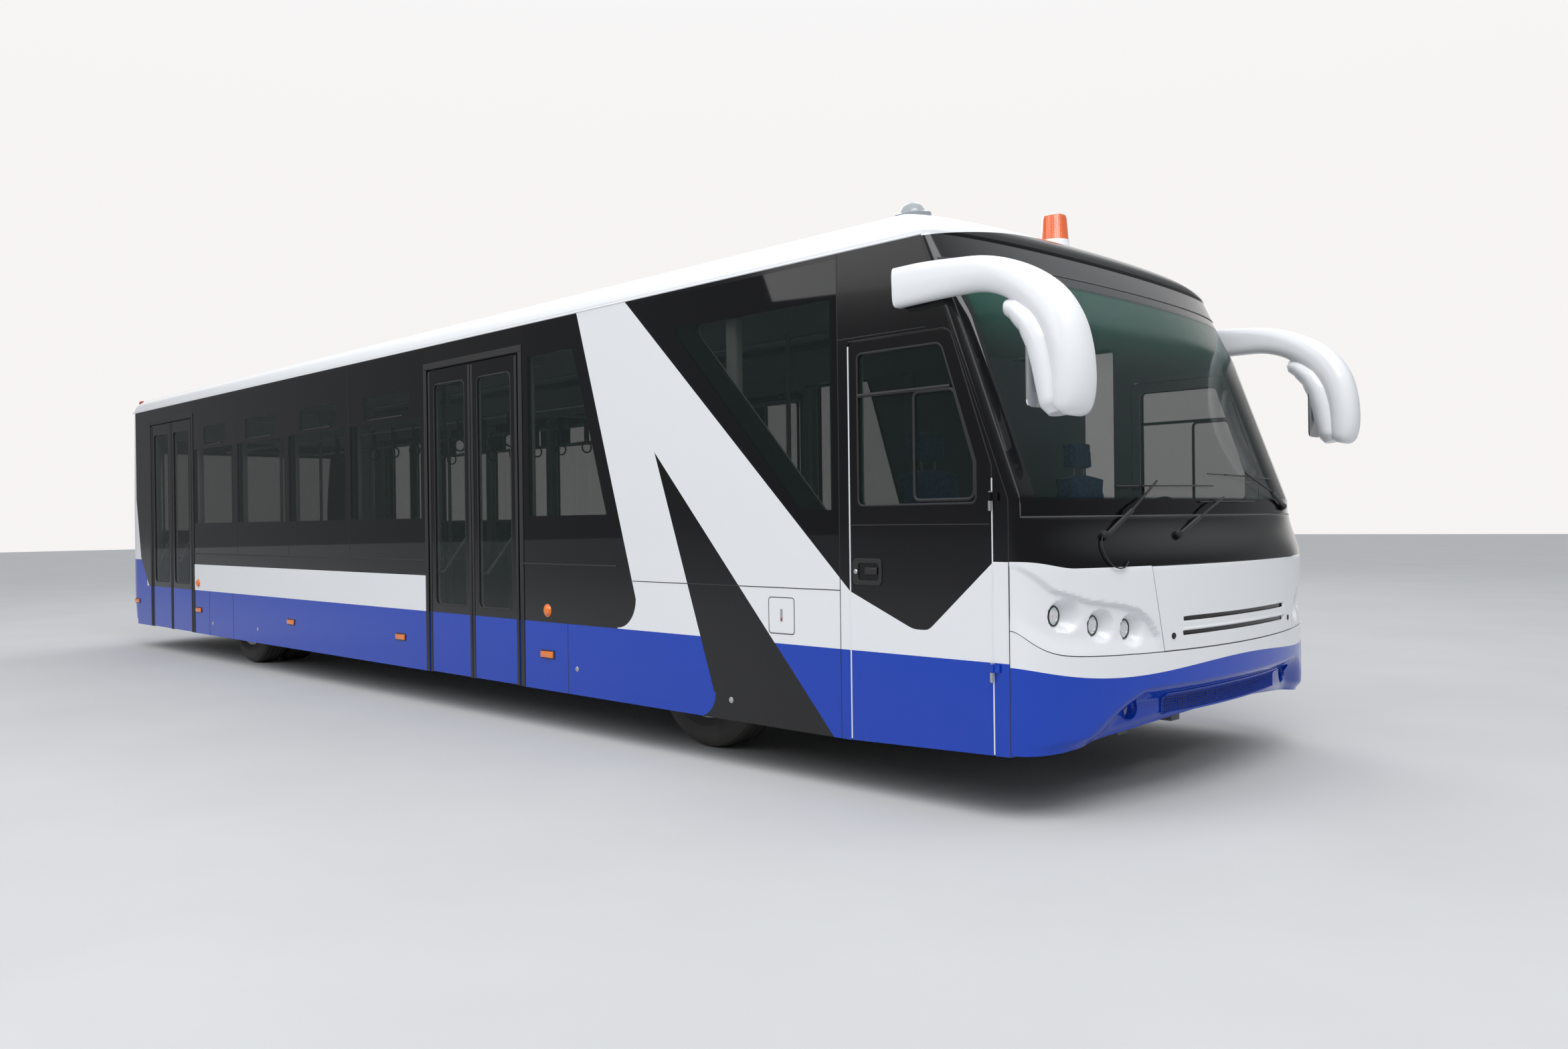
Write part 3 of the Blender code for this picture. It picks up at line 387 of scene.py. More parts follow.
def mask_x(y, z):
    """Outer face of the nose panel with its brow, lamp bowls and windscreen rebate."""
    x = nose_x(y, z)
    crest = brow_z(y)
    low = panel_seam_z(y)
    if z < crest and abs(y) > BROW[0][0]:
        fade = blend(low - 0.02, low + 0.10, z) if crest > low + 0.02 else 0
        x -= BROW_INSET * blend(0, 0.018, crest - z) * fade
    for lamp_y, lamp_z in LAMPS:
        reach = math.hypot(abs(y) - lamp_y, z - lamp_z)
        flare = (reach - LAMP_R) / (BOWL_R - LAMP_R)
        bowl = lamp_floor(lamp_y, lamp_z) + BOWL_DEPTH * max(0, flare) ** 1.4
        x = min(x, bowl) if reach < BOWL_R * 1.6 else x
    inside = blend(SCREEN_Z[0] - 0.004, SCREEN_Z[0] + 0.004, z)
    inside *= 1 - blend(SCREEN_Z[1] - 0.004, SCREEN_Z[1] + 0.004, z)
    inside *= 1 - blend(SCREEN_HALF - 0.004, SCREEN_HALF + 0.004, abs(y))
    return x - SCREEN_REBATE * inside


def spaced(*runs):
    """Values along runs of (start, end, count), each run's end left to the next one."""
    values = []
    for start, end, count in runs:
        values += [start + (end - start) * k / count for k in range(count)]
    return [*values, runs[-1][1]]


def nose_mask():
    """Nose panel round the windscreen and the lid."""
    rows = spaced((0, 0.6, 26), (0.6, 1, 14))
    lift = spaced((LID_TOP_Z + LID_GAP, 1.23, 5), (1.23, 1.41, 12), (1.41, 1.424, 6), (1.424, 2.67, 34))
    lift += spaced((2.676, 2.69, 5), (2.69, GUTTER_Z - SEAT, 8))
    lid_columns = 16
    inner = spaced((0, 1, lid_columns))
    outer = spaced((0, 1, 72))[1:]
    columns = (len(outer) + lid_columns) * 2
    total = len(rows) - 1 + len(lift)
    foot = 0.77

    def place(u, v):
        i = round(u * columns) - columns // 2
        j = round(v * total)
        side = math.copysign(1, i)
        i = abs(i)
        z_guess = LID_TOP_Z if j >= len(rows) else rows[j] * (LID_TOP_Z - foot) + foot
        edge = lid_edge(z_guess) + LID_GAP
        if i <= lid_columns:
            y = edge * inner[i]
        else:
            y = edge + (HALF - edge) * math.sin(outer[i - lid_columns - 1] * math.pi / 2)
        if j < len(rows):
            low = panel_seam_z(y) + 0.0025
            z = low + (LID_TOP_Z + LID_GAP - low) * rows[j]
        else:
            z = lift[j - len(rows)]
        return Vector((mask_x(y, z), side * y, z))

    piece = skin("nose_panel", columns, total, place)
    screen_half = HALF - 0.09

    def open_part(centre):
        in_lid = centre.z < LID_TOP_Z + LID_GAP and abs(centre.y) < lid_edge(centre.z) + LID_GAP
        in_screen = 1.44 < centre.z < 2.62 and abs(centre.y) < screen_half
        return in_lid or in_screen

    drop_faces(piece, open_part)
    shell(tidy(piece), 0.03, (1, 0, 0))
    return fit(smooth(piece), PAINT["nose"], nodes=["front_mask"])


# ---------------------------------------------------------------- shader building


class Net:
    """Short calls for wiring nodes in one tree."""

    def __init__(self, tree):
        self.tree = tree

    def node(self, kind, **settings):
        made = self.tree.nodes.new(kind)
        for key, value in settings.items():
            setattr(made, key, value)
        return made

    def put(self, socket, value):
        if isinstance(value, bpy.types.NodeSocket):
            self.tree.links.new(value, socket)
        else:
            socket.default_value = value

    def math(self, operation, *values):
        made = self.node("ShaderNodeMath", operation=operation)
        for socket, value in zip(made.inputs, values):
            self.put(socket, value)
        return made.outputs[0]

    def add(self, *values):
        total = values[0]
        for value in values[1:]:
            total = self.math("ADD", total, value)
        return total

    def times(self, *values):
        total = values[0]
        for value in values[1:]:
            total = self.math("MULTIPLY", total, value)
        return total

    def over(self, value, limit):
        """1 where a value is above a limit."""
        return self.math("GREATER_THAN", value, limit)

    def under(self, value, limit):
        return self.math("LESS_THAN", value, limit)

    def line(self, scale, value, shift):
        """scale * value + shift."""
        return self.math("MULTIPLY_ADD", value, scale, shift)

    def ramp(self, value, low, high, start=0.0, end=1.0):
        made = self.node("ShaderNodeMapRange", interpolation_type="SMOOTHSTEP")
        for socket, given in zip(made.inputs, (value, low, high, start, end)):
            self.put(socket, given)
        return made.outputs[0]

    def mix(self, factor, first, second):
        """Colour mix."""
        made = self.node("ShaderNodeMix", data_type="RGBA")
        self.put(made.inputs[0], factor)
        self.put(made.inputs[6], first)
        self.put(made.inputs[7], second)
        return made.outputs[2]

    def noise(self, place, scale, detail=3.0, rough=0.55):
        made = self.node("ShaderNodeTexNoise")
        self.put(made.inputs["Vector"], place)
        made.inputs["Scale"].default_value = scale
        made.inputs["Detail"].default_value = detail
        made.inputs["Roughness"].default_value = rough
        return made.outputs["Fac"]

    def stretched(self, place, scale):
        made = self.node("ShaderNodeMapping")
        self.put(made.inputs["Vector"], place)
        made.inputs["Scale"].default_value = scale
        return made.outputs[0]

    def place(self):
        """Object coordinates and their three parts."""
        coords = self.node("ShaderNodeTexCoord").outputs["Object"]
        parts = self.node("ShaderNodeSeparateXYZ")
        self.put(parts.inputs[0], coords)
        return coords, *parts.outputs

    def group(self, tree, **values):
        made = self.node("ShaderNodeGroup", node_tree=tree)
        for key, value in values.items():
            self.put(made.inputs[key], value)
        return made.outputs

    def bump(self, height, strength, distance):
        made = self.node("ShaderNodeBump")
        made.inputs["Strength"].default_value = strength
        made.inputs["Distance"].default_value = distance
        self.put(made.inputs["Height"], height)
        return made.outputs[0]


def new_group(name, inputs, outputs):
    """An empty shader group with float sockets; inputs are name: default."""
    tree = bpy.data.node_groups.new(name, "ShaderNodeTree")
    for key, value in inputs.items():
        socket = tree.interface.new_socket(key, in_out="INPUT", socket_type="NodeSocketFloat")
        socket.default_value = value
    for key in outputs:
        tree.interface.new_socket(key, in_out="OUTPUT", socket_type="NodeSocketFloat")
    net = Net(tree)
    return tree, net, net.node("NodeGroupInput").outputs, net.node("NodeGroupOutput").inputs


def road_film():
    """Faint dust and tone: more near the ground, streaked downwards."""
    tree, net, given, out = new_group(
        "road_film", {"Dust": 0.2, "Low": 0.25, "High": 0.9}, ["Film", "Rough"],
    )
    coords, _, _, z = net.place()
    cloud = net.noise(coords, 1.7, 5.0)
    streak = net.noise(net.stretched(coords, (9.0, 9.0, 0.8)), 1.0, 4.0)
    low = net.ramp(z, given["Low"], given["High"], 1.0, 0.22)
    film = net.times(net.add(net.times(cloud, 0.6), net.times(streak, 0.4)), low, given["Dust"])
    net.put(out["Film"], film)
    net.put(out["Rough"], net.times(net.noise(coords, 24.0, 4.0), given["Dust"], 0.35))
    return tree


def fine_grain():
    """Small moulded or brushed relief."""
    tree, net, given, out = new_group("fine_grain", {"Along": 1.0}, ["Grain", "Patch"])
    coords, _, _, _ = net.place()
    grain = net.noise(coords, 420.0, 3.0)
    patch = net.noise(coords, 6.0, 4.0)
    net.put(out["Grain"], net.times(grain, given["Along"]))
    net.put(out["Patch"], patch)
    return tree


def round_corner(net, x, z, centre, radius):
    """1 outside the quarter circle below and ahead of a corner's centre."""
    dx = net.add(x, -centre[0])
    dz = net.add(z, -centre[1])
    reach = net.math("SQRT", net.add(net.times(dx, dx), net.times(dz, dz)))
    return net.times(net.over(dx, 0.0), net.under(dz, 0.0), net.over(reach, radius))


def side_livery():
    """Masks of the painted side in x and z: gloss black shapes and the blue skirt."""
    tree, net, _, out = new_group("side_livery", {}, ["Black", "Blue"])
    _, x, _, z = net.place()
    tail_high = net.over(x, net.line(-0.212, z, -6.379 + 2.787 * 0.212))
    tail_low = net.over(x, net.line(-0.85, z, -6.014 + 1.065 * 0.85))
    front_edge = net.under(x, net.line(-0.32, z, 2.96 + 2.81 * 0.32))
    corner = round_corner(net, x, z, (3.370, 0.935), 0.19)
    band = net.times(net.over(x, -4.26), net.under(x, 0.90), net.under(z, 1.018))
    above = net.over(z, BLUE_Z)
    windows = net.times(tail_high, tail_low, front_edge, above)
    windows = net.times(windows, net.math("SUBTRACT", 1.0, corner), net.math("SUBTRACT", 1.0, band))
    cab = net.over(x, net.line(-1.0634, z, 3.48 + 2.81 * 1.0634))
    left = net.line(-0.42, x, 1.041 + 5.363 * 0.42)
    right = net.math("MINIMUM", net.line(0.885, x, 1.181 - 6.222 * 0.885), 1.209)
    point = net.math("SMOOTH_MAX", net.math("SMOOTH_MAX", left, right, 0.10), 0.868, 0.02)
    cab = net.times(cab, net.over(z, point))
    line_left = net.over(x, net.line(-0.37, z, 3.762 + 1.845 * 0.37))
    line_left = net.times(line_left, net.over(z, 0.42))
    turn = round_corner(net, x, z, (4.15, 0.42), 0.152)
    spike = net.add(line_left, turn)
    spike = net.times(spike, net.under(x, net.line(-0.935, z, 3.762 + 1.845 * 0.935)))
    spike = net.times(spike, net.under(z, 1.845))
    black = net.math("MINIMUM", net.add(windows, cab, spike), 1.0)
    step = net.times(net.under(z, STEP_Z), net.under(x, -5.80))
    step = net.times(step, net.math("SUBTRACT", 1.0, net.times(tail_low, tail_high)))
    net.put(out["Black"], black)
    net.put(out["Blue"], net.math("MAXIMUM", net.under(z, BLUE_Z), step))
    return tree


def nose_livery_and_slot_shade():
    """Masks of the painted nose in y and z; its Black mask also holds painted shade in the two lid
    slots.
    """
    tree, net, _, out = new_group("nose_livery_and_slot_shade", {}, ["Black", "Blue"])
    _, _, y, z = net.place()
    share = net.math("ABSOLUTE", net.times(y, 1 / HALF))
    square = net.times(share, share)
    waist = net.add(LID_TOP_Z + 0.004, net.ramp(share, 0.86, 1.0, 0.0, 0.034))
    crown = net.line(-0.135, square, 2.935)
    black = net.times(net.over(z, waist), net.under(z, crown))
    blue_top = net.line(0.1985, net.times(square, square), net.line(-0.1685, square, 0.692))
    # Painted shade: the paint turns black inside the two lid slots, where the recess is shaded
    slots = 0.0
    for slot_z in SLOTS_Z:
        off = net.math("ABSOLUTE", net.add(z, -slot_z))
        slots = net.add(slots, net.under(off, SLOT_HALF * 0.9))
    inside = net.under(share, (SLOT_END - 0.002) / HALF)
    net.put(out["Black"], net.math("MAXIMUM", black, net.times(slots, inside)))
    net.put(out["Blue"], net.under(z, blue_top))
    return tree


def roof_livery():
    """The black over the windscreen runs up on to the front of the roof."""
    tree, net, _, out = new_group("roof_livery", {}, ["Black", "Blue"])
    _, x, y, z = net.place()
    share = net.times(y, 1 / HALF)
    crown = net.line(-0.135, net.times(share, share), 2.935)
    edge = seam_x(GUTTER_Z) - 0.005
    net.put(out["Black"], net.times(net.under(z, crown), net.over(x, edge)))
    net.put(out["Blue"], 0.0)
    return tree


def tail_livery():
    """Black round the rear window, blue below the step."""
    tree, net, _, out = new_group("tail_livery", {}, ["Black", "Blue"])
    _, _, y, z = net.place()
    across = net.math("ABSOLUTE", y)
    black = net.times(net.under(across, 1.28), net.over(z, 1.22), net.under(z, 2.52))
    net.put(out["Black"], black)
    net.put(out["Blue"], net.under(z, STEP_Z))
    return tree


WHITE = (0.80, 0.815, 0.84, 1)
BLUE = (0.001, 0.046, 0.44, 1)
BLACK = (0.003, 0.003, 0.004, 1)
DUST = (0.36, 0.33, 0.28, 1)
INSIDE = (0.40, 0.41, 0.40, 1)


def surface(name, colour, roughness, metallic=0.0, coat=0.0, **sockets):
    """A material with its Principled BSDF; returns the material, its net and the shader."""
    made = bpy.data.materials.new(name)
    made.use_nodes = True
    shader = made.node_tree.nodes["Principled BSDF"]
    shader.inputs["Base Color"].default_value = colour
    shader.inputs["Roughness"].default_value = roughness
    shader.inputs["Metallic"].default_value = metallic
    shader.inputs["Coat Weight"].default_value = coat
    shader.inputs["Coat Roughness"].default_value = 0.04
    for key, value in sockets.items():
        shader.inputs[key.replace("_", " ")].default_value = value
    return made, Net(made.node_tree), shader.inputs


def paint(name, livery=None, base=WHITE, dust=0.25, inside=0.0):
    """Gloss coach paint, in the livery's black and blue, with a faint road film."""
    made, net, shader = surface(name, base, 0.3, coat=0.15, Specular_IOR_Level=0.32)
    colour = base
    if livery:
        masks = net.group(livery)
        colour = net.mix(masks["Blue"], colour, BLUE)
        colour = net.mix(masks["Black"], colour, BLACK)
    film = net.group(GROUPS["film"], Dust=dust)
    colour = net.mix(net.times(film["Film"], 0.5), colour, DUST)
    if inside:
        _, _, y, _ = net.place()
        colour = net.mix(net.under(net.math("ABSOLUTE", y), inside), colour, INSIDE)
    net.put(shader["Base Color"], colour)
    net.put(shader["Roughness"], net.add(0.13, film["Rough"]))
    peel = net.noise(net.place()[0], 90.0, 2.0)
    net.put(shader["Normal"], net.bump(peel, 0.03, 0.002))
    return made


def moulded(name, colour, roughness, grain=0.4, dust=0.2):
    """Rubber and plastic with a fine grain."""
    made, net, shader = surface(name, colour, roughness)
    relief = net.group(GROUPS["grain"], Along=1.0)
    film = net.group(GROUPS["film"], Dust=dust * 0.5)
    tone = net.mix(net.times(relief["Patch"], 0.25), colour, [c * 1.8 for c in colour[:3]] + [1])
    net.put(shader["Base Color"], net.mix(film["Film"], tone, DUST))
    net.put(shader["Roughness"], net.add(roughness - 0.05, net.times(relief["Patch"], 0.12)))
    net.put(shader["Normal"], net.bump(relief["Grain"], grain, 0.0015))
    return made


def metal(name, colour, roughness, dust=0.1):
    """Brushed or plated metal."""
    made, net, shader = surface(name, colour, roughness, metallic=1.0)
    relief = net.group(GROUPS["grain"], Along=1.0)
    film = net.group(GROUPS["film"], Dust=dust)
    net.put(shader["Base Color"], net.mix(film["Film"], colour, DUST))
    net.put(shader["Roughness"], net.add(roughness - 0.06, net.times(relief["Patch"], 0.14)))
    net.put(shader["Normal"], net.bump(relief["Grain"], 0.08, 0.0008))
    return made


def tinted(name, colour, alpha, edge=None):
    """Tinted window glass that shows what is behind; edge(net, x, y, z) is its black border."""
    made, net, shader = surface(name, colour, 0.03, Specular_IOR_Level=0.42)
    film = net.group(GROUPS["film"], Dust=0.03)
    base, cover = colour, net.add(alpha, net.times(film["Film"], 0.3))
    if edge:
        _, x, y, z = net.place()
        border, band = edge(net, x, y, z)
        green = net.mix(band, colour, (0.004, 0.075, 0.05, 1))
        base = net.mix(border, green, BLACK)
        cover = net.math("MAXIMUM", net.add(cover, net.times(band, 0.34)), border)
    net.put(shader["Base Color"], base)
    net.put(shader["Alpha"], net.math("MINIMUM", cover, 1.0))
    net.put(shader["Roughness"], net.add(0.02, net.times(film["Rough"], 0.6)))
    made.surface_render_method = "BLENDED"
    return made


def side_edge(net, x, y, z):
    """Black border of the side windows, clear in the panes and the top-hung vents."""
    panes = net.times(net.over(x, -4.22), net.under(x, 0.84), net.under(z, 2.265))
    for seam in PANE_SEAMS_X:
        panes = net.times(panes, net.over(net.math("ABSOLUTE", net.add(x, 0.02 - seam)), 0.055))
    mid = net.times(net.over(x, 2.37), net.under(x, net.line(-0.32, z, 3.735)), net.under(z, 2.58))
    front = net.times(net.over(x, 3.98), net.under(x, 5.245), net.under(z, 2.575))
    front = net.times(front, net.over(z, net.line(-1.0447, x, 2.516 + 3.997 * 1.0447)))
    low = net.over(z, 1.467)
    clear = net.times(low, net.math("MAXIMUM", panes, net.math("MAXIMUM", mid, front)))
    for a, b in VENTS_X:
        vent = net.times(net.over(x, a), net.under(x, b), net.over(z, 2.30), net.under(z, 2.50))
        clear = net.math("MAXIMUM", clear, vent)
    return net.math("SUBTRACT", 1.0, clear), 0.0


def screen_edge(net, x, y, z):
    """Black border of the windscreen and its green band at the top."""
    across = net.math("ABSOLUTE", y)
    side = net.ramp(across, 1.40, 1.43)
    foot = net.ramp(z, 1.52, 1.49)
    head = net.ramp(z, 2.60, 2.63)
    border = net.math("MAXIMUM", side, net.math("MAXIMUM", foot, head))
    return border, net.ramp(z, 2.12, 2.55)


def rear_edge(net, x, y, z):
    """Black border of the rear window."""
    across = net.math("ABSOLUTE", y)
    side = net.ramp(across, 1.08, 1.10)
    foot = net.ramp(z, 1.40, 1.38)
    border = net.math("MAXIMUM", side, net.math("MAXIMUM", foot, net.ramp(z, 2.34, 2.36)))
    return border, 0.0


def cloth():
    """Woven blue seat cloth with a fine two-way weave."""
    made, net, shader = surface("seat_cloth", (0.02, 0.075, 0.26, 1), 0.9, Sheen_Weight=0.35)
    coords, x, y, z = net.place()
    warp = net.math("SINE", net.times(net.add(x, z), 1700.0))
    weft = net.math("SINE", net.times(y, 1700.0))
    weave = net.times(warp, weft)
    fleck = net.noise(coords, 55.0, 4.0)
    wear = net.noise(coords, 5.0, 3.0)
    tone = net.mix(net.ramp(fleck, 0.45, 0.7), (0.014, 0.05, 0.20, 1), (0.05, 0.14, 0.36, 1))
    net.put(shader["Base Color"], net.mix(net.times(wear, 0.25), tone, (0.09, 0.15, 0.28, 1)))
    net.put(shader["Normal"], net.bump(weave, 0.35, 0.0006))
    return made


def lit(name, colour, roughness, alpha=1.0, ribs=0.0):
    """Lamp plastic, with vertical ribs where asked."""
    made, net, shader = surface(name, colour, roughness, coat=0.8)
    coords, x, y, _ = net.place()
    relief = net.math("SINE", net.times(net.add(y, x), ribs)) if ribs else net.noise(coords, 200.0)
    net.put(shader["Normal"], net.bump(relief, 0.25, 0.002))
    film = net.group(GROUPS["film"], Dust=0.15)
    net.put(shader["Base Color"], net.mix(film["Film"], colour, DUST))
    shader["Alpha"].default_value = alpha
    if alpha < 1:
        made.surface_render_method = "BLENDED"
    return made


def floor_cover():
    """Studded grey cabin floor with scuffs."""
    made, net, shader = surface("cabin_floor", (0.16, 0.165, 0.17, 1), 0.6)
    coords, x, y, _ = net.place()
    stud = net.times(net.math("SINE", net.times(x, 190.0)), net.math("SINE", net.times(y, 190.0)))
    scuff = net.noise(coords, 9.0, 6.0)
    net.put(shader["Base Color"], net.mix(scuff, (0.12, 0.125, 0.13, 1), (0.24, 0.24, 0.235, 1)))
    net.put(shader["Roughness"], net.ramp(scuff, 0.3, 0.8, 0.5, 0.8))
    net.put(shader["Normal"], net.bump(net.math("MAXIMUM", stud, 0.2), 0.3, 0.002))
    return made


# Window joints and top-hung vents of the long side window
PANE_SEAMS_X = (-2.99, -1.72, -0.43)
VENTS_X = ((-0.14, 0.66), (-1.43, -0.67), (-2.74, -1.98), (-3.89, -3.28))

# Cooling slots in the lid; the nose paint shows painted shade in them
SLOTS_Z = (0.908, 0.838)
SLOT_HALF = 0.012
SLOT_END = 0.595

GROUPS = {"film": road_film(), "grain": fine_grain()}
SIDE_LIVERY, NOSE_LIVERY_AND_SLOT_SHADE = side_livery(), nose_livery_and_slot_shade()
PAINT = {
    "side": paint("side_paint", SIDE_LIVERY, dust=0.07, inside=HALF - 0.038),
    "nose": paint("nose_paint", NOSE_LIVERY_AND_SLOT_SHADE, dust=0.05),
    "roof": paint("roof_paint", roof_livery(), dust=0.12),
    "tail": paint("tail_paint", tail_livery(), dust=0.12),
    "white": paint("white_paint", dust=0.05),
    "blue": paint("blue_paint", base=BLUE, dust=0.07),
    "black": paint("black_paint", base=BLACK, dust=0.04),
}
DOOR_PAINT = paint("door_paint", SIDE_LIVERY, base=BLACK, dust=0.05)
GLASS_SIDE = tinted("side_glass", (0.008, 0.016, 0.014, 1), 0.46, side_edge)
GLASS_DOOR = tinted("door_glass", (0.008, 0.016, 0.014, 1), 0.50)
GLASS_SCREEN = tinted("windscreen_glass", (0.008, 0.024, 0.022, 1), 0.26, screen_edge)
GLASS_REAR = tinted("rear_glass", (0.010, 0.018, 0.016, 1), 0.60, rear_edge)
RUBBER = moulded("black_rubber", (0.012, 0.012, 0.013, 1), 0.62)
TYRE = moulded("tyre_rubber", (0.016, 0.016, 0.017, 1), 0.82, 0.6, 0.5)
PLASTIC = moulded("dash_plastic", (0.18, 0.185, 0.19, 1), 0.6)
DARK = moulded("black_plastic", (0.010, 0.010, 0.011, 1), 0.42)
LINING = moulded("cabin_lining", (0.42, 0.44, 0.42, 1), 0.55)
STEEL = metal("brushed_steel", (0.56, 0.57, 0.58, 1), 0.34)
CHROME = metal("lamp_chrome", (0.86, 0.87, 0.88, 1), 0.12)
CHASSIS = moulded("chassis_black", (0.02, 0.02, 0.021, 1), 0.7, 0.5, 0.8)
AMBER = lit("amber_lens", (0.90, 0.20, 0.01, 1), 0.18, ribs=700.0)
BEACON_AMBER = lit("beacon_amber", (0.70, 0.10, 0.002, 1), 0.12, ribs=420.0)
RED = lit("red_lens", (0.45, 0.008, 0.006, 1), 0.18, ribs=700.0)
CLEAR = lit("clear_lens", (0.85, 0.88, 0.90, 1), 0.06, alpha=0.25)
DOME = lit("grey_dome", (0.27, 0.30, 0.32, 1), 0.35)
CLOTH = cloth()
FLOOR = floor_cover()


# ---------------------------------------------------------------- nose


def windscreen():
    """Bonded windscreen with its seal."""
    reach = math.pi / 2 * 0.94

    def place(u, v):
        y = SCREEN_HALF * math.sin((2 * u - 1) * reach) / math.sin(reach)
        z = SCREEN_Z[0] + (SCREEN_Z[1] - SCREEN_Z[0]) * v
        return Vector((nose_x(y, z) - 0.004, y, z))

    piece = skin("windscreen_pane", 96, 48, place)
    shell(piece, 0.006, (1, 0, 0))
    fit(smooth(piece), GLASS_SCREEN, nodes=["windscreen"])
    seal = bar("windscreen_seal", border(place, 96, 24), 0.0045, closed=True)
    fit(seal, moulded("seal_grey", (0.06, 0.06, 0.06, 1), 0.4))


def lid():
    """Front lid with its two cooling slots and locks; the nose paint shows painted shade in the slots.
    """
    def slot_dip(y, z):
        dip = 0.0
        for slot_z in SLOTS_Z:
            inside = 1 - blend(SLOT_HALF - 0.003, SLOT_HALF, abs(z - slot_z))
            dip = max(dip, inside * (1 - blend(SLOT_END - 0.004, SLOT_END + 0.004, abs(y))))
            lip = 1 - blend(0.0, 0.010, abs(z - slot_z - SLOT_HALF - 0.007))
            lip *= 1 - blend(SLOT_END - 0.01, SLOT_END + 0.012, abs(y))
            dip -= 0.25 * lip
        return dip

    def place(u, v):
        across = 2 * u - 1
        z_line = 0.76 + (LID_TOP_Z - 0.76) * v
        y = across * lid_edge(z_line)
        low = panel_seam_z(y) + 0.004
        z = low + (LID_TOP_Z - low) * v
        return Vector((nose_x(y, z) - 0.015 * slot_dip(y, z), y, z))

    piece = skin("lid_panel", 96, 150, place)
    shell(piece, 0.018, (1, 0, 0))
    fit(smooth(piece, 40), PAINT["nose"], body="front_lid", nodes=["front_lid"])
    for k, y in enumerate((-0.684, 0.684)):
        x = nose_x(y, 0.83)
        profile = [(0, 0.004), (0.006, 0.004), (0.007, 0.001), (0.011, 0.001), (0.014, 0.004)]
        profile += [(0.016, 0.002), (0.016, -0.01), (0, -0.01)]
        lock = turned(f"lid_lock_{k}", profile, (x, y, 0.83), (1, 0.35 * y, 0), 20)
        fit(smooth(lock), DARK, body="front_lid")


CREASE_Z = 0.60  # upper edge of the recess round the grille
RECESS = 0.092


def bumper_low_z(y):
    """Lower edge of the front bumper, rising towards the middle."""
    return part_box("front_bumper")[0].z + 0.11 * (1 - (y / HALF) ** 2) ** 1.4


def bumper_x(y, z):
    """Face of the front bumper, set back round the grille below a curved crease."""
    side = max(0, (abs(y) - 0.85) / 0.515)
    crease = CREASE_Z - 0.28 * side**1.6
    shrink = 1 - 0.45 * blend(0.2, 1.0, side)
    return nose_x(y, z) - RECESS * shrink * blend(0.0, 0.095 + 0.16 * min(1, side), crease - z)


def bumper():
    """Front bumper with its grille, fog lamps and lower lip."""
    def place(u, v):
        y = HALF * math.sin((2 * u - 1) * math.pi / 2)
        low, high = bumper_low_z(y), panel_seam_z(y) - 0.0025
        z = low + (high - low) * v
        tuck = 0.03 * (1 - blend(0.0, 0.06, z - low)) * min(1, (HALF - abs(y)) / 0.2)
        return Vector((bumper_x(y, z) - tuck, y, z))

    piece = skin("front_bumper_skin", 150, 56, place)
    shell(piece, 0.02, (1, 0, 0))
    for y in (-FOG_Y, FOG_Y):
        fog_hole(piece, y)
    fit(smooth(piece), PAINT["nose"], nodes=["front_bumper"])
    grille()
    for name, side in SIDES.items():
        fog_lamp(name, side)


FOG_Y, FOG_Z, FOG_R = 0.885, 0.485, 0.052


def fog_hole(piece, y):
    """Round hole for a fog lamp."""
    bpy.ops.object.select_all(action="DESELECT")
    x = bumper_x(y, FOG_Z)
    bpy.ops.mesh.primitive_cylinder_add(
        vertices=32, radius=FOG_R, depth=0.2, location=(x, y, FOG_Z), rotation=(0, math.pi / 2, 0)
    )
    cut(piece, added("fog_hole"))


def fog_lamp(name, side):
    """Fog lamp with its ring, bowl and lens."""
    x = bumper_x(FOG_Y, FOG_Z) - 0.03
    centre = (x, side * FOG_Y, FOG_Z)
    ring = [(FOG_R, 0.022), (FOG_R + 0.006, 0.030), (FOG_R + 0.004, 0.0), (FOG_R - 0.004, -0.03)]
    ring += [(FOG_R - 0.010, -0.03), (FOG_R - 0.008, 0.0), (FOG_R, 0.022)]
    made = turned(f"fog_ring_{name}", ring, centre, (1, 0, 0), 36)
    fit(smooth(made), PAINT["blue"])
    bowl = [(0, -0.042), (0.02, -0.038), (0.036, -0.02), (0.041, -0.006), (0.046, -0.006)]
    bowl += [(0.046, -0.05), (0, -0.05)]
    fit(smooth(turned(f"fog_bowl_{name}", bowl, centre, (1, 0, 0), 28)), CHROME)
    lens = [(0, 0.0), (0.03, -0.003), (0.042, -0.008), (0.042, -0.010), (0, -0.004)]
    fit(smooth(turned(f"fog_lens_{name}", lens, centre, (1, 0, 0), 28)), CLEAR)


GRILLE_HALF, GRILLE_Z = 0.655, (0.437, 0.540)


def grille():
    """Lower air grille: an open lattice in a dark frame, with a black sheet behind it as painted shade
    of the opening.
    """
    def spot(u, v, out):
        y = GRILLE_HALF * (2 * u - 1)
        z = GRILLE_Z[0] + (GRILLE_Z[1] - GRILLE_Z[0]) * v
        return Vector((bumper_x(y, z) + out, y, z))

    lattice = skin("grille_lattice", 84, 8, lambda u, v: spot(u, v, 0.004))
    modify(lattice, "WIREFRAME", thickness=0.0045, use_boundary=True)
    fit(lattice, PAINT["blue"])
    # Painted shade: a black sheet just over the closed bumper stands for the dark depth behind the
    # lattice
    painted_shade_sheet = skin("grille_painted_shade", 40, 4, lambda u, v: spot(u, v, 0.0012))
    shell(painted_shade_sheet, 0.001, (1, 0, 0))
    fit(painted_shade_sheet, CHASSIS)
    path = border(lambda u, v: spot(u, v, 0.004), 30, 4)
    fit(bar("grille_frame", path, 0.006, closed=True), PAINT["blue"])


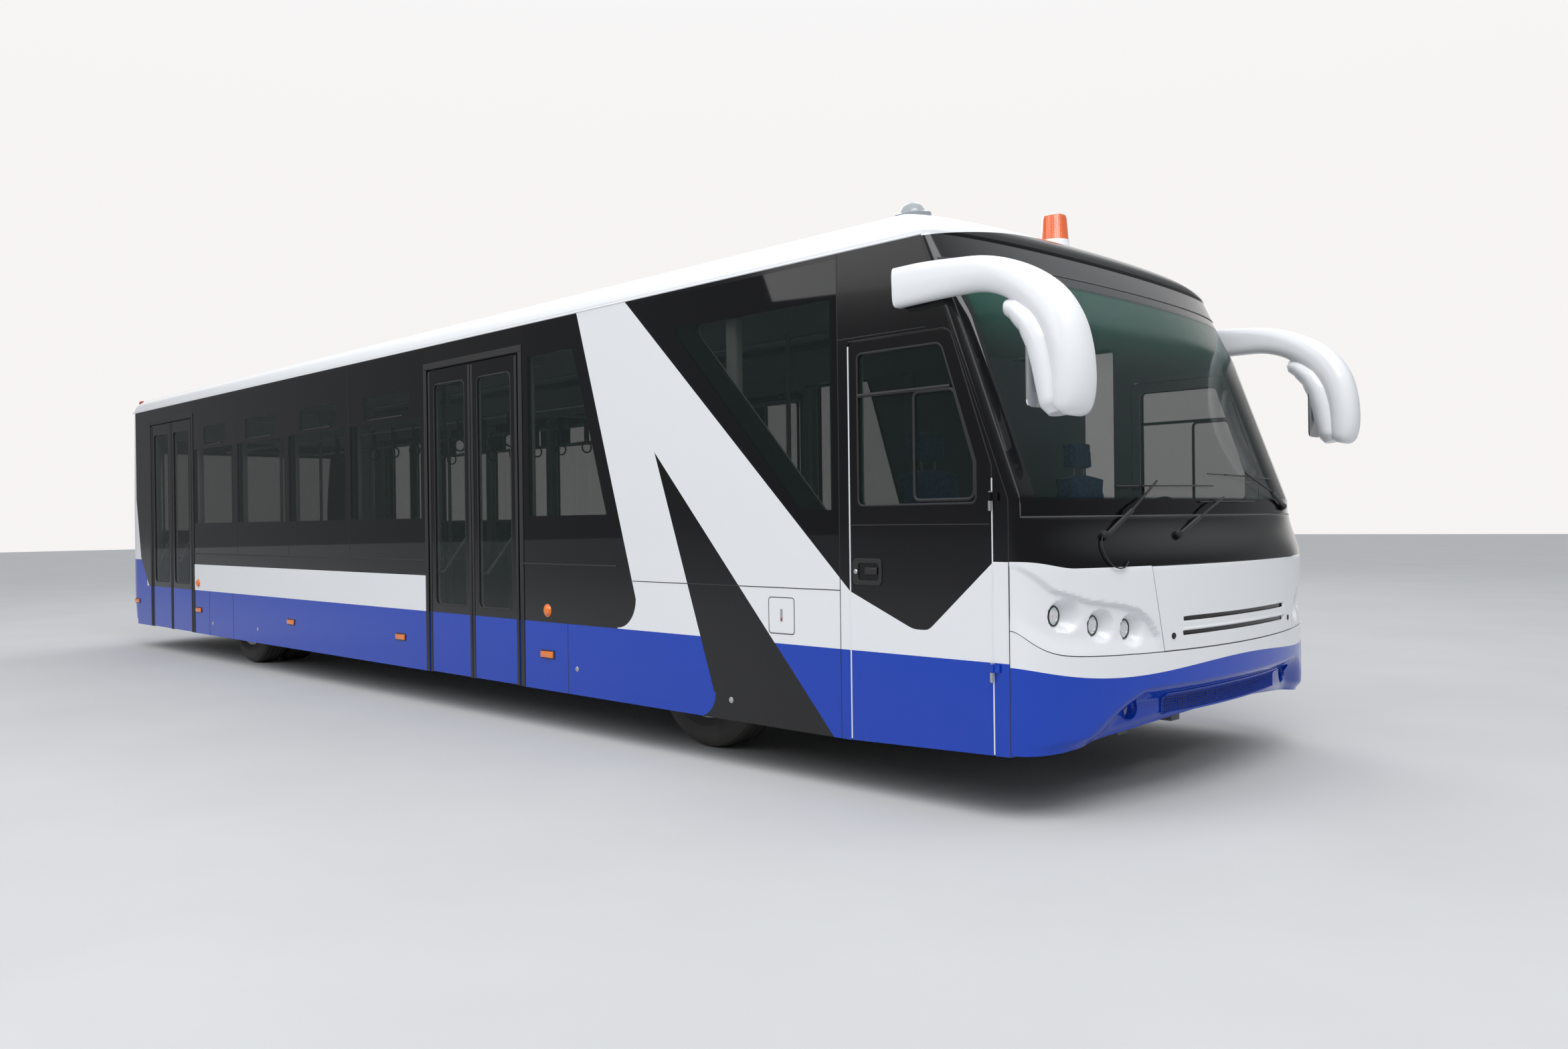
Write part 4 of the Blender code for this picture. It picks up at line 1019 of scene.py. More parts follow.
def headlamps():
    """Three round lamps on each side, seated in their bowls."""
    for name, side in SIDES.items():
        for k, (y, z) in enumerate(LAMPS):
            centre = (lamp_floor(y, z) - 0.012, side * y, z)
            bowl = [(0, -0.012), (0.018, -0.010), (0.032, 0.002), (0.038, 0.016), (0.043, 0.018)]
            bowl += [(0.045, 0.016), (0.045, -0.02), (0, -0.02)]
            made = turned(f"lamp_{k}_bowl_{name}", bowl, centre, (1, 0, 0), 32)
            fit(smooth(made), CHROME)
            ring = [(0.0405, 0.018), (0.0435, 0.023), (0.0475, 0.020), (0.0475, 0.004), (0.0405, 0.018)]
            made = turned(f"lamp_{k}_ring_{name}", ring, centre, (1, 0, 0), 40)
            fit(smooth(made), DARK)
            bulb = [(0, 0.016), (0.006, 0.014), (0.009, 0.006), (0.009, -0.008), (0, -0.008)]
            made = turned(f"lamp_{k}_bulb_{name}", bulb, centre, (1, 0, 0), 16)
            fit(smooth(made), AMBER if k == 0 else CHROME)
            lens = [(0, 0.034), (0.02, 0.031), (0.035, 0.022), (0.040, 0.017), (0.040, 0.014)]
            lens += [(0.034, 0.019), (0.02, 0.027), (0, 0.030)]
            made = turned(f"lamp_{k}_lens_{name}", lens, centre, (1, 0, 0), 32)
            fit(smooth(made), CLEAR)


# ---------------------------------------------------------------- tail and roof


def tail_x(y_turn, z, inset=0.0):
    """Place (x, y) on the rear of the body for a turn from -90 to 90 degrees across it."""
    if z < REAR_BUMPER_Z:
        lean = 0.9 * ((REAR_BUMPER_Z - z) / REAR_BUMPER_Z) ** 2
    else:
        lean = TAIL_LEAN * (max(0, z - TAIL_LEAN_Z) / (GUTTER_Z - TAIL_LEAN_Z)) ** 1.3
    bulge = TAIL_DEPTH - min(lean, TAIL_LEAN)
    across = math.copysign(abs(math.sin(y_turn)) ** 0.4, y_turn)
    return TAIL_SEAM_X - bulge * abs(math.cos(y_turn)), (HALF - inset) * across


def tail_turn(y):
    """The turn whose place across is y."""
    return math.copysign(math.asin(min(1, (abs(y) / HALF) ** 2.5)), y)


def tail_band(name, low, high, columns, rows, half=HALF, out=0.0):
    """Band of the tail between two heights, across a half width, its points evenly spread."""
    def place(u, v):
        z = low + (high - low) * v
        edge = math.asin(min(1, (half / HALF) ** 2.5))
        share = 2 * u - 1
        turn = math.copysign(edge * abs(share) ** (2.2 if half < HALF else 1.9), share)
        x, y = tail_x(turn, z)
        return Vector((x - out, y, z))

    return skin(name, columns, rows, place)


def tail():
    """Rear wall with its window, bumper and lamps."""
    low, high = REAR_BUMPER_Z + 0.002, GUTTER_Z - SEAT
    wall = tail_band("rear_panel", low, high, 120, 60, out=-0.006)
    window_y, window_z = 1.10, (1.36, 2.38)

    def in_window(centre):
        return window_z[0] < centre.z < window_z[1] and abs(centre.y) < window_y

    drop_faces(wall, in_window)
    shell(wall, 0.04, (-1, 0, 0))
    fit(smooth(wall), PAINT["tail"], nodes=["rear_wall"])
    glass = tail_band("rear_pane", 1.30, 2.44, 60, 30, half=1.17)
    shell(glass, 0.004, (-1, 0, 0))
    fit(smooth(glass), GLASS_REAR, nodes=["rear_window"])
    skirt = tail_band(
        "rear_bumper_skin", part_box("rear_bumper")[0].z, REAR_BUMPER_Z - 0.002, 120, 24, out=-0.006,
    )
    shell(skirt, 0.03, (-1, 0, 0))
    fit(smooth(skirt), PAINT["tail"], nodes=["rear_bumper"])
    for name, side in SIDES.items():
        for k, (z, finish) in enumerate(((1.14, RED), (0.99, AMBER), (0.84, RED))):
            y = side * 1.30
            x, _ = tail_x(tail_turn(y), z)
            profile = [(0, 0.012), (0.03, 0.010), (0.047, 0.003), (0.047, 0.0), (0.054, 0.0)]
            profile += [(0.056, -0.006), (0.056, -0.03), (0, -0.03)]
            lamp = turned(f"tail_lamp_{k}_{name}", profile, (x - 0.004, y, z), (-1, side * 0.35, 0), 32)
            lamp.data.transform(Matrix.Translation((0.012, 0, 0)))
            fit(smooth(lamp), finish)
    plate_x = tail_x(0, 0.8)[0]
    blank = block("rear_plate_blank", (plate_x, -0.24, 0.76), (plate_x + 0.02, 0.24, 0.90), 0.004)
    blank.data.transform(Matrix.Translation((-0.006, 0, 0)))
    fit(blank, PAINT["white"])


ROOF_RISES = (
    (0.0, 0.0, 0.0),
    (0.08, 0.0, 0.0),
    (0.33, 0.022, 0.03),
    (0.56, 0.075, 0.13),
    (0.68, 0.155, 0.27),
    (0.86, 0.60, 0.62),
    (1.0, 1.10, 1.05),
)


def roof_ring(v):
    """Rise, inset and setback of the roof between its key rings, on a smooth curve."""
    rise, inset, setback = (max(value, 0.0) for value in curve(ROOF_RISES, v))
    return min(rise, 1.0), inset, setback


def roof():
    """Domed roof with two hatches, its front edge blending into the windscreen header."""
    nose_points, tail_points = 64, 64

    def place(u, v):
        rise, inset, setback = roof_ring(min(v / 0.9, 1))
        z = GUTTER_Z + ROOF_RISE * rise
        shrink = 1 - max(0, (v - 0.9) / 0.1) * 0.999
        count = nose_points + tail_points + 2
        k = round(u * count) % count
        if k <= nose_points:
            turn = (k / nose_points * 2 - 1) * math.pi / 2
            x = seam_x(GUTTER_Z) - setback + TOP_BULGE * math.cos(turn)
            y = (HALF - inset) * math.sin(turn)
        else:
            turn = (1 - (k - nose_points - 1) / tail_points * 2) * math.pi / 2
            x, y = tail_x(turn, GUTTER_Z, inset)
            x += inset * 0.8
        middle = (seam_x(GUTTER_Z) + TAIL_SEAM_X) / 2
        return Vector((middle + (x - middle) * shrink, y * shrink, z))

    piece = skin("roof_shell", nose_points + tail_points + 2, 60, place)
    tidy(piece)
    shell(piece, 0.03, (0, 0, 1))
    fit(smooth(piece, 25), PAINT["roof"], nodes=["roof"])
    beacon()
    for k, x in enumerate((-3.6, 1.2)):
        hatch = block(f"roof_hatch_{k}", (x - 0.38, -0.32, 3.02), (x + 0.38, 0.32, 3.062), 0.016, 3)
        fit(smooth(hatch), PAINT["white"])


def beacon():
    """Amber beacon on its white foot, a grey aerial dome and the small red rear lamp."""
    low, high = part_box("beacon")
    x, z = (low.x + high.x) / 2, low.z
    top = high.z - z
    foot = [(0, 0.028), (0.083, 0.028), (0.0835, 0.02), (0.085, -0.005), (0.088, -0.02), (0, -0.02)]
    foot_piece = turned("beacon_foot", foot, (x, 0, z), (0, 0, 1), 40)
    fit(smooth(foot_piece), PAINT["white"])
    cap = [(0, top), (0.05, top - 0.003), (0.066, top - 0.012), (0.071, top - 0.03)]
    cap += [(0.080, 0.034), (0.082, 0.028), (0, 0.028)]
    cap_piece = turned("beacon_cap", cap, (x, 0, z), (0, 0, 1), 40)
    fit(smooth(cap_piece), BEACON_AMBER, nodes=["beacon"])
    place = Vector((seam_x(GUTTER_Z) - 0.30, -1.18, GUTTER_Z + ROOF_RISE * 0.72))
    profile = [
        (0, 0.100), (0.03, 0.096), (0.055, 0.080), (0.072, 0.050), (0.098, 0.040), (0.102, -0.05),
        (0, -0.05),
    ]
    dome = turned("aerial_dome", profile, place, (0, -0.12, 1), 32)
    fit(smooth(dome), DOME)
    place = Vector((TAIL_X + 0.42, -1.36, GUTTER_Z + ROOF_RISE * 0.55))
    profile = [(0, 0.045), (0.02, 0.042), (0.032, 0.028), (0.035, 0.0), (0.035, -0.02), (0, -0.02)]
    fit(smooth(turned("rear_marker_lamp", profile, place, (0, -0.15, 1), 24)), RED)


# ---------------------------------------------------------------- sides


def out_y(side, out):
    """A place across, a distance outside the body side."""
    return side * (HALF + out)


def span(side, near, far):
    """y range between two distances outside the body side."""
    return sorted((out_y(side, near), out_y(side, far)))


def side_block(name, side, x_range, z_range, near, far, edge=0.002):
    """Soft-edged block on the body side, between two distances outside it."""
    y_low, y_high = span(side, near, far)
    return block(name, (x_range[0], y_low, z_range[0]), (x_range[1], y_high, z_range[1]), edge)


def side_bar(name, side, path, radius=0.0035, out=0.0, closed=False):
    """Bead along x, z points on the body side."""
    return bar(name, [(x, out_y(side, out), z) for x, z in path], radius, closed=closed)


MARKERS = ((-6.157, 0.547), (-4.093, 0.526), (-1.678, 0.519), (0.477, 0.510), (2.58, 0.517))
INDICATORS = ((-4.105, 0.816), (2.583, 0.818))
SKIRT_LOCKS = ((2.92, 0.443), (-3.697, 0.398), (-2.488, 0.404), (4.434, 0.386))
BELT_Z = 1.045
CAB_SEAM_X = 5.29
HEADER_Z = 2.352


def side_seams(name, side):
    """Panel joints, window joints and drip rail of one side."""
    paths = {
        "belt_seam": [(3.53, BELT_Z), (CAB_SEAM_X, BELT_Z)],
        "cab_seam": [(CAB_SEAM_X, SKIRT_Z), (CAB_SEAM_X, 1.06)],
        "cab_window_seam": [(CAB_SEAM_X, 1.06), (CAB_SEAM_X, GUTTER_Z - 0.01)],
        "header_seam": [(CAB_SEAM_X, HEADER_Z), (SEAM_X - 0.47, HEADER_Z)],
        "skirt_seam_a": [(2.82, SKIRT_Z), (2.82, BLUE_Z)],
        "skirt_seam_b": [(-3.78, SKIRT_Z), (-3.78, BLUE_Z)],
        "skirt_seam_c": [(-3.12, SKIRT_Z), (-3.12, BLUE_Z)],
        "nose_seam": [
            (SEAM_X - 0.002, 0.31), (SEAM_X - 0.002, LEAN_Z),
            (seam_x(GUTTER_Z) - 0.002, GUTTER_Z - 0.01),
        ],
    }
    for x in PANE_SEAMS_X:
        paths[f"pane_seam_{x}"] = [(x, SILL_Z + 0.01), (x, GUTTER_Z - 0.04)]
    pieces = [side_bar(key, side, path, 0.003, -0.0012) for key, path in paths.items()]
    fit(joined(f"side_seams_{name}", pieces), RUBBER)
    gutter = [(TAIL_SEAM_X - 0.1, GUTTER_Z), (seam_x(GUTTER_Z), GUTTER_Z)]
    fit(side_bar(f"roof_gutter_{name}", side, gutter, 0.006, -0.002), PAINT["white"])
    sills = []
    for node, short in (("main", 0), ("mid", 0.12)):
        low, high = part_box(f"{node}_glass_{name}")
        sills.append([(low.x, SILL_Z - 0.004), (high.x - short, SILL_Z - 0.004)])
    beads = [side_bar(f"sill_{k}", side, path, 0.006, 0.0) for k, path in enumerate(sills)]
    fit(joined(f"window_sills_{name}", beads), RUBBER)


def hopper_vents(name, side):
    """Top-hung vent frames in the upper part of the long window."""
    pieces = []
    for k, (a, b) in enumerate(VENTS_X):
        outline = [(a, 2.29), (b, 2.29), (b, 2.50), (a, 2.50)]
        pieces.append(side_bar(f"vent_{k}", side, outline, 0.009, -0.012, closed=True))
        pieces.append(side_bar(f"vent_lip_{k}", side, [(a + 0.1, 2.30), (b - 0.1, 2.30)], 0.006, 0.002))
    fit(joined(f"vent_frames_{name}", pieces), RUBBER)


def pane_linings(name, side):
    """Pale reveal round each window opening, seen through the tinted glass."""
    low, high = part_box(f"main_glass_{name}")
    edges = [low.x, *PANE_SEAMS_X, high.x]
    openings = [(a + 0.03, b - 0.07) for a, b in zip(edges, edges[1:])]
    pieces = []
    for k, (a, b) in enumerate(openings):
        outline = rectangle((a, 1.45), (b, 2.28), 0.03)
        pieces.append(side_bar(f"reveal_{k}", side, outline, 0.014, -0.035, closed=True))
    fit(joined(f"window_reveals_{name}", pieces), LINING)


def small_lamps(name, side):
    """Side markers, indicators and the locks of the skirt flaps."""
    for k, (x, z) in enumerate(MARKERS):
        base = side_block(
            f"marker_base_{k}_{name}", side, (x - 0.082, x + 0.082), (z - 0.029, z + 0.029), -0.002,
            0.004,
        )
        fit(base, DARK)
        lens = side_block(
            f"marker_{k}_{name}", side, (x - 0.074, x + 0.074), (z - 0.022, z + 0.022), 0.002, 0.015,
            0.006,
        )
        fit(smooth(lens), AMBER)
    profile = [
        (0, 0.022), (0.02, 0.020), (0.034, 0.012), (0.038, 0.003), (0.044, 0.003), (0.046, -0.004),
        (0, -0.004),
    ]
    for k, (x, z) in enumerate(INDICATORS):
        lens = turned(f"indicator_{k}_{name}", profile, (x, out_y(side, 0), z), (0, side, 0), 28)
        fit(smooth(lens), AMBER)
    profile = [
        (0, 0.003), (0.006, 0.003), (0.007, 0.0015), (0.016, 0.002), (0.018, 0.0), (0.018, -0.004),
        (0, -0.004),
    ]
    for k, (x, z) in enumerate(SKIRT_LOCKS):
        lock = turned(f"skirt_lock_{k}_{name}", profile, (x, out_y(side, 0), z), (0, side, 0), 20)
        fit(smooth(lock), STEEL)


def hatch(name, side):
    """Small service flap with its pull."""
    outline = rectangle((4.753, 0.792), (4.951, 0.991), 0.018)
    fit(side_bar(f"hatch_joint_{name}", side, outline, 0.0028, -0.001, closed=True), DARK)
    flap = plate(
        f"hatch_flap_{name}", rectangle((4.758, 0.797), (4.946, 0.986), 0.015), "XZ",
        *span(side, -0.004, 0.0018), 0.001,
    )
    fit(flap, PAINT["white"])
    pull = side_block(f"hatch_pull_{name}", side, (4.845, 4.863), (0.86, 0.93), -0.001, 0.004, 0.002)
    fit(pull, STEEL)
    tab = side_block(f"hatch_pull_tab_{name}", side, (4.849, 4.859), (0.862, 0.88), 0.002, 0.006, 0.001)
    fit(tab, RED)


# ---------------------------------------------------------------- doors


def passenger_door(body, side):
    """Door leaf: black frame with a tall pane, a blue lower panel and rubber edges."""
    low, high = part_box(body)
    x_low, x_high, z_low, z_high = low.x, high.x, low.z, high.z
    outline = [(x_low, z_low), (x_high, z_low), (x_high, z_high), (x_low, z_high)]
    inner, outer = span(side, -0.04, 0.0)
    frame_piece = plate(f"{body}_frame", outline, "XZ", inner, outer)
    pane = rectangle((x_low + 0.085, 0.80), (x_high - 0.085, 2.50), 0.045)
    tool = plate("pane_tool", pane, "XZ", inner - 0.05, outer + 0.05)
    cut(frame_piece, tool)
    soft_edges(frame_piece, 0.003)
    fit(frame_piece, DOOR_PAINT, body=body, nodes=[body])
    grown = rectangle((x_low + 0.078, 0.793), (x_high - 0.078, 2.507), 0.05)
    glass = plate(f"{body}_pane", grown, "XZ", *span(side, -0.012, -0.006))
    fit(glass, GLASS_DOOR, body=body)
    bead = side_bar(f"{body}_bead", side, pane, 0.006, -0.003, closed=True)
    fit(bead, RUBBER, body=body)
    lining = side_bar(f"{body}_lining", side, pane, 0.008, -0.030, closed=True)
    fit(lining, LINING, body=body)
    strips = []
    for k, x in enumerate((x_low, x_high)):
        inward = 1 if k == 0 else -1
        a, b = sorted((x + inward * 0.0005, x + inward * 0.030))
        strips.append(
            side_block(f"strip_{k}", side, (a, b), (z_low - 0.004, z_high - 0.01), -0.03, 0.004, 0.003)
        )
    fit(joined(f"{body}_rubber_edges", strips), RUBBER, body=body)
    feet = [(x_low + 0.12, 1.05), (x_high - 0.12, 1.35)]
    rail = side_bar(f"{body}_hand_bar", side, feet, 0.013, -0.055)
    posts = [
        bar(f"post_{k}", [(x, out_y(side, -0.02), z), (x, out_y(side, -0.055), z)], 0.011)
        for k, (x, z) in enumerate(feet)
    ]
    fit(joined(f"{body}_hand_rail", [rail, *posts]), STEEL, body=body)


def doorway_trim(door, name, side):
    """Black frame round a passenger doorway and the cover of the door gear above it."""
    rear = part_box(f"{door}_door_rear_{name}_leaf")
    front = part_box(f"{door}_door_front_{name}_leaf")
    a, b = rear[0].x - 0.022, front[1].x + 0.022
    top = rear[1].z + 0.008
    pieces = []
    for k, x in enumerate((a, b)):
        inward = -1 if k == 0 else 1
        x_range = sorted((x, x + inward * 0.045))
        pieces.append(
            side_block(f"jamb_{k}", side, x_range, (SKIRT_Z + 0.002, top + 0.05), -0.01, 0.006, 0.003)
        )
    pieces.append(
        side_block("head", side, (a - 0.04, b + 0.04), (top + 0.002, top + 0.05), -0.01, 0.010, 0.004)
    )
    fit(joined(f"{door}_doorway_frame_{name}", pieces), RUBBER)


CAB_GLASS_Z = (1.485, 2.265)


def cab_door(name, side):
    """Cab door skin with its window, slider, handle and hinges' pins."""
    body = f"cab_door_{name}"
    low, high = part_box(body)
    rear, front = low.x, SEAM_X - 0.095
    top = high.z
    lean = 0.228
    bend_z = 1.66
    outline = rounded(
        [
            (rear, SKIRT_Z + 0.001), (front, SKIRT_Z + 0.034), (front, bend_z),
            (front - lean, top, 0.06), (rear, top, 0.03),
        ]
    )
    inner, outer = span(side, -0.05, 0.0)
    skin_piece = plate(f"{body}_skin", outline, "XZ", inner, outer)
    z_low, z_high = CAB_GLASS_Z
    window = [(rear + 0.058, z_low, 0.03), (front - 0.085, z_low, 0.03), (front - 0.085, bend_z + 0.02)]
    window += [(front - lean - 0.055, z_high, 0.05), (rear + 0.058, z_high, 0.03)]
    cut(skin_piece, plate("window_tool", rounded(window), "XZ", inner - 0.05, outer + 0.05))
    soft_edges(skin_piece, 0.0025)
    fit(skin_piece, PAINT["side"], body=body, nodes=[body])
    pane = plate(f"{body}_pane", rounded(window), "XZ", *span(side, -0.012, -0.006))
    fit(pane, GLASS_DOOR, body=body)
    beads = [side_bar("window_bead", side, rounded(window), 0.006, -0.002, closed=True)]
    bar_z = 2.05
    beads.append(
        side_bar("transom", side, [(rear + 0.06, bar_z), (front - 0.23, bar_z)], 0.011, -0.004)
    )
    fit(joined(f"{body}_window_frame", beads), RUBBER, body=body)
    slider = [
        (5.79, z_low + 0.02, 0.03), (front - 0.095, z_low + 0.02, 0.04), (front - 0.095, bend_z + 0.02),
    ]
    slider += [(front - 0.212, bar_z - 0.012, 0.04), (5.79, bar_z - 0.012, 0.03)]
    fit(
        side_bar(f"{body}_slider", side, rounded(slider), 0.009, -0.005, closed=True), RUBBER,
        body=body,
    )
    seam = side_bar(
        f"{body}_waist_seam", side, [(rear + 0.01, 1.385), (front - 0.01, 1.385)], 0.0028, -0.0008,
    )
    fit(seam, RUBBER, body=body)
    handle(body, side, rear + 0.115)
    white_gaps(name, side, rear, front, top, lean, bend_z)
    pins = []
    for z in (0.693, 1.493):
        ends = [(front + 0.0025, out_y(side, 0.012), z + rise) for rise in (-0.046, 0.046)]
        pins.append(bar(f"pin_{z}", ends, 0.0075, 12))
    fit(joined(f"cab_hinge_pins_{name}", pins), STEEL)
    for level, z in (("low", 0.693), ("high", 1.493)):
        leaf_plate = side_block(
            f"{body}_hinge_leaf_{level}", side, (front - 0.016, front - 0.003), (z - 0.045, z), 0.0005,
            0.004,
        )
        fit(leaf_plate, STEEL, body=body)


def handle(body, side, x):
    """Recessed door handle: rounded dish, pull bar and lock."""
    z_low, z_high = 1.078, 1.214
    dish = plate(
        f"{body}_handle_dish", rectangle((x - 0.097, z_low), (x + 0.097, z_high), 0.025), "XZ",
        *span(side, -0.01, 0.005), 0.002,
    )
    tool = plate(
        "dish_tool", rectangle((x - 0.060, z_low + 0.024), (x + 0.078, z_high - 0.022), 0.018), "XZ",
        *span(side, -0.004, 0.05)
    )
    cut(dish, tool)
    fit(dish, DARK, body=body)
    grip = side_block(
        f"{body}_handle_grip", side, (x - 0.012, x + 0.070), (z_low + 0.055, z_high - 0.045), 0.003,
        0.011, 0.004,
    )
    fit(smooth(grip), DARK, body=body)
    profile = [(0, 0.006), (0.008, 0.006), (0.012, 0.003), (0.014, -0.002), (0, -0.002)]
    lock = turned(
        f"{body}_handle_lock", profile, (x - 0.078, out_y(side, 0.004), (z_low + z_high) / 2),
        (0, side, 0), 20,
    )
    fit(smooth(lock), STEEL, body=body)


def white_gaps(name, side, rear, front, top, lean, bend_z):
    """Pale seals in the gaps round the cab door."""
    rear_path = [(rear - 0.003, SKIRT_Z + 0.01), (rear - 0.003, top - 0.02)]
    front_path = [(front + 0.004, SKIRT_Z + 0.04), (front + 0.004, 1.60)]
    pieces = [
        side_bar("rear_gap", side, rear_path, 0.0042, -0.001),
        side_bar("front_gap", side, front_path, 0.0042, -0.001),
    ]
    fit(joined(f"cab_door_seals_{name}", pieces), PAINT["white"])
    top_path = [
        (front + 0.004, 1.60), (front + 0.004, bend_z), (front - lean + 0.006, top - 0.02),
        (front - lean - 0.03, top + 0.004), (rear, top + 0.004),
    ]
    fit(side_bar(f"cab_door_head_seal_{name}", side, top_path, 0.004, -0.001), RUBBER)


# ---------------------------------------------------------------- mirrors


def mirror(name, side):
    """Hooded mirror: a swept arm from above the cab door and a long rounded head."""
    y_root = HALF + 0.046
    stations = [
        # x, z, half height, outward shift, half depth
        (5.735, 2.552, 0.098, 0.0, 0.043),
        (5.90, 2.556, 0.096, 0.002, 0.046),
        (6.10, 2.552, 0.088, 0.006, 0.052),
        (6.26, 2.540, 0.083, 0.012, 0.060),
        (6.40, 2.500, 0.084, 0.020, 0.072),
        (6.52, 2.435, 0.092, 0.026, 0.084),
        (6.62, 2.350, 0.098, 0.030, 0.095),
        (6.69, 2.250, 0.092, 0.032, 0.104),
        (6.725, 2.140, 0.086, 0.032, 0.110),
        (6.738, 2.030, 0.082, 0.032, 0.112),
        (6.735, 1.940, 0.078, 0.032, 0.110),
        (6.728, 1.880, 0.062, 0.032, 0.098),
        (6.722, 1.855, 0.030, 0.032, 0.060),
    ]

    def place(u, v):
        x, z, tall, shift, deep = curve(stations, v)
        ahead, behind = curve(stations, min(1, v + 0.01)), curve(stations, max(0, v - 0.01))
        along = Vector((ahead[0] - behind[0], 0, ahead[1] - behind[1])).normalized()
        up = Vector((-along.z, 0, along.x))
        angle = u * 2 * math.pi
        power = 0.45 + 0.4 * min(1, v * 2.5)
        c = math.copysign(abs(math.cos(angle)) ** power, math.cos(angle))
        s = math.copysign(abs(math.sin(angle)) ** power, math.sin(angle))
        middle = Vector((x, side * (y_root + shift), z))
        return middle + up * tall * s + Vector((0, side * deep * c, 0))

    arm = skin(f"mirror_arm_{name}", 40, 72, place)
    close_ends(arm)
    head = mirror_hood(name, side, y_root + 0.032)
    piece = joined(f"mirror_{name}_hood", [arm, head])
    fit(smooth(piece, 45), PAINT["white"], nodes=[f"mirror_{name}"])
    glass = plate(
        f"mirror_{name}_glass", rectangle((y_root - 0.052, 1.90), (y_root + 0.116, 2.20), 0.03), "YZ",
        6.548, 6.556,
    )
    if side < 0:
        glass.data.transform(MIRROR)
        tidy(glass)
    fit(glass, CHROME)


def mirror_hood(name, side, y_mid):
    """Shell of the head behind the arm, open rearwards at the glass."""
    profile = [
        (6.395, 2.362, 0.028), (6.415, 2.362, 0.058), (6.475, 2.338, 0.086), (6.55, 2.275, 0.106),
    ]
    profile += [
        (6.600, 2.185, 0.118), (6.632, 2.085, 0.122), (6.652, 1.985, 0.120), (6.664, 1.905, 0.106),
    ]
    profile += [(6.672, 1.866, 0.070)]
    count = len(profile)

    def place(u, v):
        scaled = v * (count - 1)
        k = min(int(scaled), count - 2)
        f = scaled - k
        a, b = profile[k], profile[k + 1]
        x, z, r = (start + (end - start) * f for start, end in zip(a, b))
        along = Vector((b[0] - a[0], 0, b[1] - a[1])).normalized()
        up = Vector((-along.z, 0, along.x))
        angle = u * 2 * math.pi
        wide = Vector((0, min(r, 0.108) * math.cos(angle), 0))
        return Vector((x, side * y_mid, z)) + up * r * 0.70 * math.sin(angle) + wide

    piece = skin(f"hood_{name}", 28, 30, place)
    close_ends(piece)
    return piece


def close_ends(piece):
    """Fill the open ends of a tube-like skin and turn its faces outwards."""
    with editing(piece):
        bpy.ops.mesh.remove_doubles(threshold=0.0001)
        bpy.ops.mesh.select_all(action="DESELECT")
        bpy.ops.mesh.select_mode(type="EDGE")
        bpy.ops.mesh.select_non_manifold()
        bpy.ops.mesh.fill_holes(sides=0)
        bpy.ops.mesh.select_all(action="SELECT")
        bpy.ops.mesh.normals_make_consistent(inside=False)
    return piece


# ---------------------------------------------------------------- wipers


def wiper(name, pivot, tip_left, tip_right, heel):
    """Wiper: spindle boss, tapered arm and a framed blade on the glass. Places are (y, z)."""
    def on(y, z, out):
        return Vector((nose_x(y, z) + out, y, z))

    boss_profile = [
        (0, 0.03), (0.014, 0.028), (0.02, 0.018), (0.022, 0.0), (0.026, -0.006), (0, -0.006),
    ]
    boss = turned("boss", boss_profile, on(*pivot, 0.0), (1, -0.4, 0.2), 20)

    def between(start, end, share):
        return tuple(a + (b - a) * share for a, b in zip(start, end))

    elbow = between(pivot, heel, 0.45)
    lower = bar("lower_arm", [on(*pivot, 0.018), on(*elbow, 0.032)], 0.012, 12)
    upper = bar("upper_arm", [on(*elbow, 0.032), on(*heel, 0.030)], 0.006, 8)
    steps = 10
    line = [between(tip_left, tip_right, k / steps) for k in range(steps + 1)]
    blade = bar("blade", [on(y, z, 0.006) for y, z in line], 0.004, 8)
    spine = bar("spine", [on(y, z, 0.020) for y, z in line[2:-2]], 0.0045, 8)
    claws = [bar(f"claw_{k}", [on(*line[k], 0.006), on(*line[k], 0.020)], 0.0035) for k in (2, 4, 6, 8)]
    piece = joined(f"wiper_{name}", [boss, lower, upper, blade, spine, *claws])
    return fit(piece, DARK)


def wipers():
    """Three wipers and the loop of the washer hose."""
    wiper("right", (-1.085, 1.325), (-0.93, 1.560), (-0.02, 1.570), (-0.62, 1.588))
    wiper("middle", (-0.535, 1.320), (-0.22, 1.485), (0.47, 1.490), (0.0, 1.508))
    wiper("left", (1.02, 1.46), (-0.03, 1.635), (0.93, 1.625), (0.42, 1.650))
    loop = []
    for k in range(15):
        angle = math.radians(80 + 240 * k / 14)
        y = -1.06 + 0.075 * math.cos(angle)
        z = 1.255 + 0.085 * math.sin(angle)
        loop.append((nose_x(y, z) + 0.012, y, z))
    fit(bar("washer_hose", loop, 0.0035, 8), DARK)


# ---------------------------------------------------------------- wheels

RIM_R = 0.286


def tyre_profile(width):
    """Tyre section from inner bead to outer bead, about the middle of its width."""
    half = width / 2
    outer = [
        (RIM_R - 0.004, half - 0.042), (RIM_R + 0.012, half - 0.022), (RIM_R + 0.05, half - 0.004),
        (RIM_R + 0.095, half), (AXLE_Z - 0.060, half - 0.004), (AXLE_Z - 0.028, half - 0.016),
        (AXLE_Z - 0.010, half - 0.030), (AXLE_Z - 0.004, half - 0.048),
    ]
    profile = [(radius, -height) for radius, height in outer]
    for groove in (-0.072, -0.024, 0.024, 0.072):
        profile += [
            (AXLE_Z, groove - 0.008), (AXLE_Z - 0.013, groove - 0.005),
            (AXLE_Z - 0.013, groove + 0.005), (AXLE_Z, groove + 0.008),
        ]
    return profile + outer[::-1]


